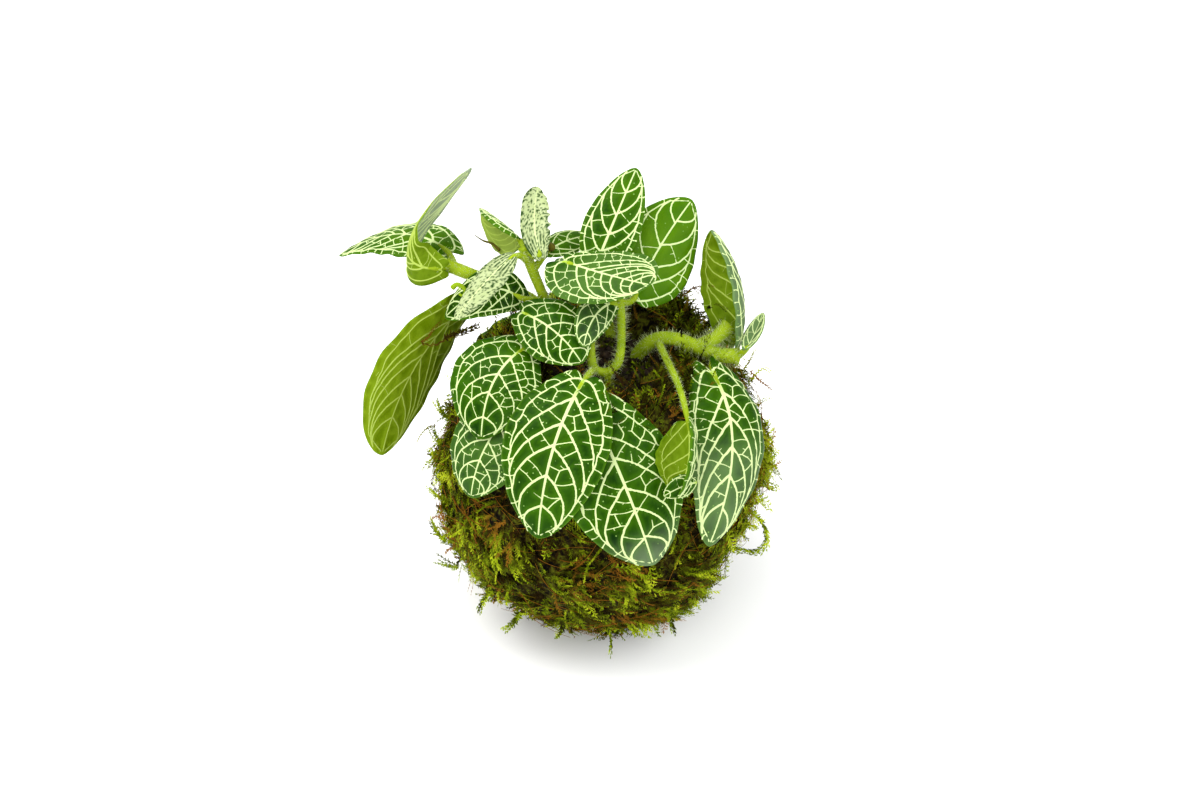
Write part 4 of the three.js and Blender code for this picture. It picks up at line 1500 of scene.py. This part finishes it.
# %% Bed
def make_bed():
    """The dark felt, near black as painted shade: rough, pressed flat at the foot and dipped at
    the crown.
    """
    bm = bmesh.new()
    bmesh.ops.create_uvsphere(bm, u_segments=110, v_segments=72, radius=1)
    verts = bm.verts[:]
    directions = unit(np.array([vert.co for vert in verts]))
    places = CENTRE + directions * moss_radius(directions)[:, None]
    rough = np.array([noise.noise(Vector(place) * 0.35) for place in places])
    places += directions * rough[:, None] * 0.8
    flat = np.hypot(places[:, 0], places[:, 1])
    floor_line = 0.4 + 3.2 * soft_step(flat, FOOT_RADIUS, FOOT_RADIUS + 8)
    bottom = places[:, 2] < 12
    squeezed = np.maximum(places[:, 2], floor_line * (places[:, 2] < 6))
    places[:, 2] = np.where(bottom, squeezed, places[:, 2])
    dip = 1 - soft_step(flat, CROWN_RADIUS, CROWN_RIM)
    top = places[:, 2] > 70
    dipped = places[:, 2] * (1 - dip) + CROWN_FLOOR * dip
    places[:, 2] = np.where(top, dipped, places[:, 2])
    set_places(verts, places)
    add_piece("moss_bed", bm, [BED], ["moss_coat"])


make_bed()
print("bed,", TRIANGLES["moss_bed"], "triangles")


# %% Soil
def make_soil():
    """A rough plug of soil in the crown, with crumbs on it."""
    bm = bmesh.new()
    bmesh.ops.create_uvsphere(bm, u_segments=48, v_segments=32, radius=1)
    verts = bm.verts[:]
    directions = np.array([vert.co for vert in verts])
    places = CENTRE + directions * (SOIL_RADIUS - hollow(directions))[:, None]
    rough = np.array([noise.noise(Vector(place) * 0.5) for place in places])
    places[:, 2] = np.minimum(places[:, 2], SOIL_TOP + rough * 1.2)
    set_places(verts, places)
    draw = random.Random(21)
    for _ in range(420):
        angle, reach = draw.uniform(0, 2 * math.pi), 19 * math.sqrt(draw.random())
        level = 83.8 + draw.uniform(-0.6, 0.6)
        spot = Vector((math.cos(angle) * reach, math.sin(angle) * reach, level))
        radius = draw.uniform(0.4, 1.5) * MM
        crumb = bmesh.ops.create_icosphere(bm, subdivisions=1, radius=radius)
        for vert in crumb["verts"]:
            vert.co = vert.co * draw.uniform(0.7, 1.25) + spot * MM
    add_piece("soil_plug", bm, [SOIL], ["soil_ball"])


make_soil()
print("soil,", TRIANGLES["soil_plug"], "triangles")


# %% [markdown]
# ## Fronds
# A frond of this moss is a bent stalk half a centimetre to a centimetre long, with leaflets
# or short side branches like a fern's. There are thousands, so each kind is made
# once, straight and with few faces, and each copy is bent along its own path as it is
# laid on the ball. Particles and hair would be quicker to set up, but the exported model
# can't hold them.

# %% Leaflets and stalks
LEAFLET_WIDTH = 0.42


def leaflet(bm, length, width, turn, tilt, place):
    """One pointed leaflet: a square with its corners pulled to a kite."""
    made = bmesh.ops.create_circle(bm, cap_ends=True, segments=4, radius=1)
    for vert in made["verts"]:
        x, y = vert.co.x, vert.co.y
        ahead = (y + 1) * length / 2 - abs(x) * length * 0.12
        vert.co = Vector((x * width / 2, ahead, abs(x) * width * 0.25))
    turned = Matrix.Rotation(turn, 4, "Z") @ Matrix.Rotation(tilt, 4, "X")
    bmesh.ops.transform(bm, verts=made["verts"], matrix=Matrix.Translation(place) @ turned)


def flat_stalk(length, width, cuts):
    """A narrow stalk along +Y that grows thinner. One unit is one millimetre."""
    bm = bmesh.new()
    stalk = bmesh.ops.create_grid(bm, x_segments=1, y_segments=cuts, size=1)
    for vert in stalk["verts"]:
        share = (vert.co.y + 1) / 2
        vert.co = Vector((vert.co.x * width * (1.2 - share), share * length, 0))
    return bm


print("leaflets are", LEAFLET_WIDTH, "mm wide")


# %% Kinds of frond
def braided_frond(draw, leaflets, length, spread_angle, cuts=5):
    """A stalk with leaflets all around it."""
    bm = flat_stalk(length, 0.16, cuts)
    for i in range(leaflets):
        share = (i + 0.6) / leaflets
        side = 1 if i % 2 else -1
        reach = (1.3 - 0.6 * share) * draw.uniform(0.7, 1.25)
        turn = -side * spread_angle * draw.uniform(0.4, 1.5) * (1.15 - 0.4 * share)
        tilt = draw.uniform(-0.2, 0.9)
        width = LEAFLET_WIDTH * draw.uniform(0.8, 1.2)
        leaflet(bm, reach, width, turn, tilt, (0, share * length * 0.95, 0))
    return bm


def branched_frond(draw, pairs, length):
    """A stalk with side branches that each carry three leaflets."""
    bm = flat_stalk(length, 0.2, 5)
    for i in range(pairs * 2):
        share = 0.12 + 0.8 * (i + 0.5) / (pairs * 2)
        side = 1 if i % 2 else -1
        reach = 2.1 * math.sin(math.pi * share ** 0.8) ** 0.7 * draw.uniform(0.8, 1.15) + 0.6
        turn = -side * draw.uniform(0.75, 1.05)
        root = Vector((0, share * length, 0))
        leaflet(bm, reach, LEAFLET_WIDTH, turn, draw.uniform(-0.1, 0.5), root)
        out = Vector((side * math.sin(abs(turn)), math.cos(turn), 0.1))
        for part, swing in ((0.35, 0.7), (0.62, -0.6)):
            place = root + out * reach * part
            leaflet(bm, 0.9, 0.34, turn + side * swing, draw.uniform(0.1, 0.6), place)
    leaflet(bm, 1.6, 0.5, 0, 0.2, (0, length * 0.95, 0))
    return bm


print("faces of a tuft:", len(braided_frond(random.Random(0), 15, 4.0, 0.85, 3).faces))


# %% Shapes of fronds
def frond_mesh(bm, name):
    """A frond with its attributes: tip is 0 at the root and 1 at the tip."""
    tip_layer = bm.verts.layers.float.new("tip")
    bm.verts.layers.float.new("tone")
    bm.verts.layers.float.new("rust")
    longest = max(vert.co.y for vert in bm.verts)
    for vert in bm.verts:
        along = min(1, max(0, vert.co.y / longest))
        vert[tip_layer] = along * 0.6 + min(0.4, abs(vert.co.x) * 0.25)
    mesh = bpy.data.meshes.new(name)
    bm.to_mesh(mesh)
    bm.free()
    local = np.array([vert.co for vert in mesh.vertices])
    return mesh, local


frond_draw = random.Random(8)
TUFTS = [frond_mesh(braided_frond(frond_draw, 15, 4.0 + 0.7 * k, 0.85, 3), "tuft")
         for k in range(4)]
BRAIDS = [frond_mesh(braided_frond(frond_draw, 32, 8.0 + 1.3 * k, 0.6 + 0.12 * k), "braid")
          for k in range(4)]
FERNS = [frond_mesh(branched_frond(frond_draw, 5, 8.5 + k), "fern") for k in range(3)]
print("faces of a frond:", [len(mesh.polygons) for mesh, local in TUFTS + BRAIDS + FERNS])


# %% Laying fronds
def bent(local, root, out, heading, lift, droop, sway, size):
    """A frond's vertices, bent along its own path: it leaves the ball and droops again."""
    side = unit(np.cross(heading, out))
    y = local[:, 1:2] * size
    centre = root + heading * y + out * (lift * y + droop * y * y) + side * (sway * y * y)
    return centre + side * local[:, :1] * size + out * 0.9 * local[:, 2:] * size


def end_of(kind, place):
    """Where the tip of a bent frond lies."""
    return place[np.argmax(kind[1][:, 1])]


def lay(bm, kind, place, tone, rust):
    """Adds one bent frond with its tone. Nothing reaches below the ground."""
    mesh = kind[0]
    place = place.copy()
    place[:, 2] = np.maximum(place[:, 2], 0.15)
    for key, value in (("tone", tone), ("rust", rust)):
        values = np.full(len(place), value, np.float32)
        mesh.attributes[key].data.foreach_set("value", values)
    add_copies(bm, mesh, [place])


print("longest braid", BRAIDS[-1][1][:, 1].max().round(1), "mm")


# %% Tone and place of a frond
def tangents(out):
    """East and up along the surface of the ball."""
    east = unit(np.cross((0, 0, 1.0), out))
    return east, np.cross(out, east)


def frond_tone(draw, height, root):
    """Painted shade and light: darker in the creases between clumps, brighter on top of them and
    towards the left and right sides. Patches and chance add the moss's own tone.
    """
    patch = noise.noise(Vector(root) * 0.09)
    # Painted light: fronds towards the left and right sides are made brighter.
    side = abs(root[0]) / 50
    # Painted shade: fronds low in the creases between clumps are darker.
    return 0.12 + 0.36 * height + 0.27 * side ** 3 + 0.28 * patch + draw.gauss(0, 0.17)


def frond_rust(draw, root):
    """Rusty fronds lie together in patches, and a few stand anywhere."""
    patch = noise.noise(Vector(root) * 0.07 + Vector((5, 5, 5)))
    rusty = draw.random() < 0.03 + max(0, patch - 0.12) * 0.8
    return draw.uniform(0.6, 1.0) if rusty else draw.uniform(0, 0.12)


def in_crown(root):
    """True in the opening at the top, which the crown moss fills."""
    return math.hypot(root[0], root[1]) < 17 and root[2] > 70


def surface(out, sunk):
    """A point on the bed in one direction, sunk by so many millimetres."""
    return CENTRE + out * (moss_radius(out[None, :])[0] - sunk)


print("top of the bed", surface(np.array([0.0, 0.0, 1.0]), 0)[2].round(1), "mm")


# %% Moss on the ball
PLACES_TRIED = 17000
SECTORS = 4


def moss_layers():
    """An empty mesh with the three attributes of moss."""
    bm = bmesh.new()
    for key in ("tip", "tone", "rust"):
        bm.verts.layers.float.new(key)
    return bm


def moss_on_ball(bms, count, draw):
    """Short tufts all over the ball, with a long frond among them here and there."""
    laid = 0
    for out in spread(count, 0.93, -0.985, draw):
        height = clump_height(out[None, :])[0]
        root = surface(out, 0.3)
        if in_crown(root) or draw.random() > 0.35 + 1.8 * height:
            continue
        east, up = tangents(out)
        swirl = 1.7 * noise.noise(Vector(root) * 0.045) + draw.gauss(0, 0.6)
        turn = 1 if noise.noise(Vector(root) * 0.03 + Vector((9, 9, 9))) > 0 else -1
        heading = unit(east * math.cos(swirl) * turn - up * (0.35 + math.sin(swirl)))
        long = draw.random() < 0.14
        kind = draw.choice(BRAIDS + FERNS[:1] if long else TUFTS)
        size = draw.uniform(0.6, 1.05) if long else draw.uniform(0.75, 1.25)
        steepest = 0.3 + 0.5 * height if long else 0.4 + 0.8 * height
        lift = draw.uniform(0.1, steepest) * (1 - 0.12 * hollow(out[None, :])[0])
        droop = draw.uniform(-0.05, -0.02)
        sway = draw.uniform(-0.08, 0.08)
        place = bent(kind[1], root, out, heading, lift, droop, sway, size)
        ends = [end_of(kind, place), place[len(place) // 2], place.mean(axis=0)]
        if not all(keeps_clear(end, 1.5) for end in ends):
            if draw.random() < 0.4:
                continue
            low_root = root - out * 1.2
            place = bent(kind[1], low_root, out, heading, 0.0, -0.02, sway, size * 0.55)
            if not keeps_clear(end_of(kind, place), 1.2):
                continue
        around = (math.atan2(out[1], out[0]) + math.pi) / (2 * math.pi)
        sector = int(around * len(bms)) % len(bms)
        lay(bms[sector], kind, place, frond_tone(draw, height, root), frond_rust(draw, root))
        laid += 1
    return laid


draw = random.Random(14)
sectors = [moss_layers() for _ in range(SECTORS)]
print("fronds on the ball:", moss_on_ball(sectors, PLACES_TRIED, draw))
for k, bm in enumerate(sectors):
    add_piece("moss_fronds_%d" % (k + 1), bm, [MOSS])


# %% [markdown]
# ## Loose moss at the crown and around the ball
# Long dark tufts fill the crown around the stems and the pile behind them. Single longer
# sprigs stand off the ball, so that its outline isn't smooth. Nothing may grow through a
# leaf, so a frond whose tip would come too near to one is left out.

# %% Crown tufts
def crown_moss(bm, count, draw):
    """Darker tufts that fill the crown around the stems."""
    for _ in range(count):
        angle, reach = draw.uniform(0, 2 * math.pi), 33 * math.sqrt(draw.uniform(0.02, 1))
        level = 82.6 + 0.25 * max(0, reach - CROWN_RADIUS)
        if reach >= CROWN_RIM:  # here the tufts stand on the ball itself
            level = 46.5 + math.sqrt(47 ** 2 - reach ** 2)
        root = np.array([math.cos(angle) * reach, math.sin(angle) * reach, level])
        heading = unit(np.array([draw.gauss(0, 1), draw.gauss(0, 1), draw.uniform(0.0, 0.5)]))
        if reach > 20:
            rise = np.array([0, 0, draw.uniform(0.3, 1.3)])
            heading = unit(heading * 0.7 + root * (0.012, 0.012, 0) + rise)
        out = unit(np.array([draw.gauss(0, 0.25), draw.gauss(0, 0.25), 1.0]))
        kind = draw.choice(BRAIDS + FERNS)
        place = bent(kind[1], root, out, heading, draw.uniform(0.2, 0.7), -0.03,
                     draw.uniform(-0.05, 0.05), draw.uniform(0.5, 0.9))
        if keeps_clear(end_of(kind, place), 1.3):
            tone = draw.uniform(0.02, 0.42)
            lay(bm, kind, place, tone, 0.8 if draw.random() < 0.07 else 0.0)


draw = random.Random(31)
crown = moss_layers()
crown_moss(crown, 620, draw)
print("faces of the crown tufts:", len(crown.faces))


# %% Moss behind the stems
def mound_moss(bm, count, draw):
    """Long dark fronds on the pile behind the stems."""
    for _ in range(count):
        out = unit(np.array([0.36 + draw.gauss(0, 0.17), 0.50 + draw.gauss(0, 0.13), 0.76]))
        root = surface(out, 0.5)
        east, up = tangents(out)
        heading = unit(east * draw.gauss(0, 0.8) + up * draw.gauss(0, 0.8)
                       + out * draw.uniform(0.3, 1.2))
        kind = draw.choice(BRAIDS)
        place = bent(kind[1], root, out, heading, 0.2, -0.03, draw.uniform(-0.08, 0.08),
                     draw.uniform(0.5, 0.95))
        if keeps_clear(end_of(kind, place), 1.3) and keeps_clear(place.mean(axis=0), 1.3):
            lay(bm, kind, place, draw.uniform(0.02, 0.38), draw.choice((0.0, 0.0, 0.0, 0.5)))


mound_moss(crown, 420, draw)
add_piece("crown_moss", crown, [MOSS])
print("crown moss,", TRIANGLES["crown_moss"], "triangles")


# %% Stray sprigs
def stray_sprigs(bm, count, draw):
    """Longer sprigs that stand off the ball and break up its outline."""
    for out in spread(count, 0.75, -0.9, draw):
        root = surface(out, 0.5)
        east, up = tangents(out)
        heading = unit(out * draw.uniform(0.3, 1.0) - up * draw.uniform(0.1, 1.1)
                       + east * draw.gauss(0, 0.8))
        kind = draw.choice(FERNS + BRAIDS[2:])
        place = bent(kind[1], root, out, heading, 0.0, -0.02, draw.uniform(-0.06, 0.06),
                     draw.uniform(0.55, 0.95))
        if keeps_clear(end_of(kind, place), 2.0):
            tone = draw.uniform(0.5, 0.85)
            lay(bm, kind, place, tone, 1.0 if draw.random() < 0.08 else 0.0)


sprigs = moss_layers()
stray_sprigs(sprigs, 200, draw)
print("faces of the stray sprigs:", len(sprigs.faces))


# %% [markdown]
# ## The sprigs that show in the photo
# A loop at the right, hanging sprigs low in front and a few dry threads give this ball
# its own look, so they are placed one by one. Each row has its tone, how rusty it is, its
# size, and the run of places that its fronds follow.

# %% Sprigs in front and on the right
SPRIGS = [
    # the loop at the right and the twig beside it
    (0.85, 0, 1.1, [(36.9, -17.2, 41.2), (40.4, -15.6, 42.5), (43.3, -15.6, 41.8),
     (46.0, -16.6, 39.9), (47.5, -18.0, 37.3), (48.1, -19.5, 34.7), (46.9, -20.8, 32.4),
     (44.3, -21.1, 31.1), (41.4, -20.4, 31.3), (36.5, -20.1, 31.0)]),
    (0.3, 0.9, 0.4, [(34.5, -24.3, 35.4), (38.1, -21.9, 35.2), (40.8, -20.5, 33.7)]),
    # hanging low in front
    (0.72, 0, 0.9, [(-0.9, -40.8, 27.3), (0.8, -42.1, 22.4), (2.3, -43.3, 17.6),
     (1.7, -44.3, 13.0)]),
    (0.66, 0, 1.3, [(19.3, -37.5, 28.2), (19.6, -38.1, 24.2), (19.9, -38.6, 20.3),
     (20.9, -39.3, 16.2)]),
    (0.7, 0, 1, [(18.1, -37.8, 27.8), (19.0, -37.7, 23.0), (18.8, -37.3, 18.7)]),
    (0.3, 1, 0.45, [(10.7, -39.6, 22.4), (16.5, -38.4, 20.6), (24.3, -37.1, 19.0)]),
    (0.75, 0, 1.2, [(21.1, -33.8, 26.5), (25.2, -32.3, 23.6), (28.2, -31.5, 19.7)]),
    (0.8, 0, 1.2, [(23.4, -33.1, 27.4), (27.6, -30.8, 25.4), (31.5, -27.7, 24.5)]),
    (0.3, 1, 0.7, [(28.0, -29.6, 35.1), (30.7, -28.4, 31.7), (32.2, -27.8, 27.7)]),
    # along the right edge
    (0.85, 0, 1.1, [(38.1, -16.1, 42.6), (42.3, -12.8, 42.0), (47.1, -9.4, 41.5)]),
    (0.85, 0.1, 1.2, [(42.3, -7.0, 47.8), (46.0, -6.5, 45.2), (51.1, -6.4, 42.0)]),
    (0.6, 1, 0.8, [(42.3, -6.3, 48.7), (46.0, -3.6, 48.8), (49.6, -2.5, 47.1)]),
    (0.8, 0, 1.1, [(38.1, -17.9, 40.3), (41.7, -15.8, 38.1), (45.4, -14.6, 34.8)]),
    (0.8, 0, 1.1, [(42.9, -2.3, 53.8), (46.5, -0.4, 53.0), (49.0, 2.2, 53.1)]),
    (0.85, 0, 1.1, [(43.6, 2.1, 56.2), (47.2, 4.4, 57.4), (48.4, 6.6, 58.7)]),
]
print(len(SPRIGS), "sprigs in front and on the right")


# %% Sprigs of the crown, the left and below
SPRIGS += [
    # at the upper right
    (0.85, 0.3, 0.6, [(40.8, 15.3, 69.8), (42.8, 16.4, 72.9), (44.5, 18.0, 76.5)]),
    (0.9, 0.1, 0.6, [(42.5, 13.1, 67.0), (45.1, 14.5, 69.9), (47.2, 14.7, 71.3),
     (49.5, 13.1, 70.3)]),
    (0.5, 1, 0.7, [(43.1, 15.4, 70.0), (46.3, 12.8, 68.3), (49.8, 10.4, 66.8)]),
    (0.85, 0, 0.7, [(43.7, 8.7, 61.4), (46.3, 9.4, 63.9), (48.3, 9.2, 65.2)]),
    # twigs and a curl over the crown
    (0.12, 0.5, 0.5, [(23.0, 24.1, 90.9), (26.6, 21.3, 96.1), (31.9, 17.0, 99.6)]),
    (0.2, 0.3, 0.4, [(25.9, 24.1, 94.1), (27.6, 22.2, 93.3), (28.4, 20.0, 92.1)]),
    (0.25, 0, 0.6, [(28.7, 19.6, 91.6), (30.6, 16.9, 92.5), (33.4, 15.1, 94.5),
     (36.7, 11.6, 94.3)]),
    (0.3, 0, 0.9, [(30.5, 14.2, 94.5), (31.5, 15.7, 89.8), (30.2, 16.4, 84.3)]),
    # along the left edge
    (0.75, 0, 1, [(-41.9, -29.2, 32.4), (-45.1, -25.8, 30.2), (-48.5, -22.1, 28.5)]),
    (0.2, 1, 0.35, [(-39.1, -28.1, 33.8), (-37.7, -28.7, 28.1), (-38.5, -29.7, 22.0)]),
    (0.75, 0, 1.1, [(-45.6, -21.5, 35.7), (-48.5, -16.9, 35.2), (-50.8, -11.5, 35.6)]),
    (0.5, 1, 0.8, [(-43.8, -21.6, 38.8), (-46.3, -16.8, 38.5), (-48.6, -11.4, 38.9)]),
    (0.5, 1, 0.8, [(-44.4, -19.1, 42.0), (-47.2, -15.3, 40.4), (-50.1, -12.5, 37.5)]),
    (0.85, 0, 1.1, [(-45.7, -6.7, 51.4), (-48.8, -3.1, 51.1), (-51.1, 1.2, 51.7)]),
    (0.85, 0, 1.1, [(-45.6, -1.6, 54.7), (-48.4, 2.2, 54.7), (-50.3, 6.9, 55.8)]),
    (0.8, 0, 1.1, [(-45.7, -12.5, 44.0), (-48.5, -9.4, 43.0), (-51.1, -5.7, 42.9)]),
    (0.85, 0, 1, [(-44.8, 5.0, 59.9), (-47.5, 8.2, 60.8), (-49.1, 11.8, 62.1)]),
    (0.55, 0.3, 0.5, [(-48.9, 4.1, 58.8), (-51.1, 2.7, 59.1), (-53.1, 0.4, 58.4),
     (-54.2, -2.1, 57.3)]),
    # along the bottom
    (0.72, 0, 1.2, [(-23.8, -42.9, 27.8), (-25.3, -42.5, 23.5), (-28.3, -41.7, 19.6)]),
    (0.7, 0, 1.2, [(-12.3, -44.0, 26.4), (-11.8, -43.5, 22.1), (-13.6, -42.8, 18.3)]),
    (0.7, 0, 1.2, [(8.3, -42.9, 27.8), (10.6, -42.5, 23.5), (13.0, -41.2, 20.3)]),
    (0.72, 0, 1.1, [(-32.0, -34.6, 28.7), (-34.5, -33.4, 23.8), (-36.4, -32.6, 18.3)]),
    # strands over the hanging leaf
    (0.34, 0.25, 0.7, [(-52.2, 5.9, 87.8), (-50.8, 5.7, 87.0), (-49.1, 5.8, 86.4),
     (-47.4, 6.5, 86.6), (-45.2, 7.6, 87.2), (-42.3, 8.7, 87.5), (-39.5, 9.8, 87.7),
     (-35.5, 11.7, 88.5)]),
    (0.36, 0.7, 0.5, [(-52.2, 5.9, 87.8), (-50.8, 6.5, 88.0), (-49.7, 7.4, 88.8),
     (-49.1, 8.2, 89.6), (-47.7, 9.4, 90.5), (-46.0, 10.5, 91.2)]),
    (0.36, 0.1, 1.0, [(-45.7, 7.9, 87.7), (-42.9, 9.3, 88.4), (-39.8, 10.5, 88.7),
     (-35.5, 12.4, 89.4)]),
]
print(len(SPRIGS), "placed sprigs")


# %% Single sprigs
LONG = frond_mesh(braided_frond(frond_draw, 40, 20, 0.95, 9), "long_frond")
SHORT = frond_mesh(braided_frond(frond_draw, 18, 8, 0.95, 7), "short_frond")


def wound(local, path, size):
    """A frond's vertices, laid along a run of points instead of along the ball."""
    path = np.array(path, float)
    marks = marks_along(path)
    y = np.clip(local[:, 1] / local[:, 1].max(), 0, 1) * marks[-1]
    centre = np.stack([np.interp(y, marks, path[:, k]) for k in range(3)], axis=-1)
    slopes = np.gradient(path, axis=0)
    along = unit(np.stack([np.interp(y, marks, slopes[:, k]) for k in range(3)], axis=-1))
    side = unit(np.cross(along, (0.1, -0.75, 0.6)))
    return centre + side * local[:, :1] * size + np.cross(side, along) * local[:, 2:] * size


def seen_sprigs(bm, draw):
    """The sprigs that stand out in the photo, each a few fronds that part from one path."""
    for tone, rust, size, points in SPRIGS:
        path = spline(points, 0.8)
        kind = LONG if len(path) > 22 else SHORT
        share = np.linspace(0, 1, len(path))[:, None]
        for turn in range(5 if size > 0.85 else 2):
            local = kind[1] * (draw.choice((-1, 1)), 1, draw.choice((-1, 1)))
            away = np.array([draw.gauss(0, 0.55) for _ in range(3)]) * (0.3 + share) * (turn > 0)
            place = wound(local, path + away, size * draw.uniform(0.85, 1.1))
            lay(bm, kind, place, tone - 0.1 * turn, rust)


seen_sprigs(sprigs, draw)
add_piece("stray_sprigs", sprigs, [MOSS])
print(len(SPRIGS), "placed sprigs,", TRIANGLES["stray_sprigs"], "triangles with the others")


# %% [markdown]
# ## Rusty strands
# Thin reddish stalks lie across the moss on all sides. Each is a three-sided rod that is
# bent along the ball in the same way as a frond.

# %% Rusty strands
def strand_mesh():
    """One thin strand along +Y, three-sided and ready to bend."""
    bm = moss_layers()
    bmesh.ops.create_cone(bm, cap_ends=True, segments=3, radius1=1, radius2=0.4, depth=2)
    cut_long_edges(bm, 7)
    for vert in bm.verts:
        vert.co = Vector((vert.co.x * 0.17, (vert.co.z + 1) * 7, vert.co.y * 0.17))
    mesh = bpy.data.meshes.new("strand")
    bm.to_mesh(mesh)
    bm.free()
    return mesh, np.array([vert.co for vert in mesh.vertices])


def strands(bm, count, draw):
    """Strands that lie on the fronds, three in four of them rusty."""
    kind = strand_mesh()
    for out in spread(count, 0.9, -0.95, draw):
        root = surface(out, -1.3)
        if in_crown(root):
            continue
        east, up = tangents(out)
        heading = unit(east * draw.choice((-1, 1)) - up * draw.gauss(0, 0.5))
        lift, droop = draw.uniform(0.05, 0.3), draw.uniform(-0.025, -0.012)
        place = bent(kind[1], root, out, heading, lift, droop,
                     draw.uniform(-0.05, 0.05), draw.uniform(0.5, 1.1))
        if keeps_clear(place[-1], 1.2) and keeps_clear(place.mean(axis=0), 1.2):
            tone = draw.uniform(0.2, 0.6)
            lay(bm, kind, place, tone, 1.0 if draw.random() < 0.75 else 0.3)


rusty = moss_layers()
strands(rusty, 850, random.Random(44))
add_piece("rusty_strands", rusty, [MOSS])
print("strands,", TRIANGLES["rusty_strands"], "triangles")


# %% [markdown]
# ## Close the scene
# The last cell prints how many triangles the finer pieces have.

# %% Finish
print("triangles:", sum(TRIANGLES.values()))
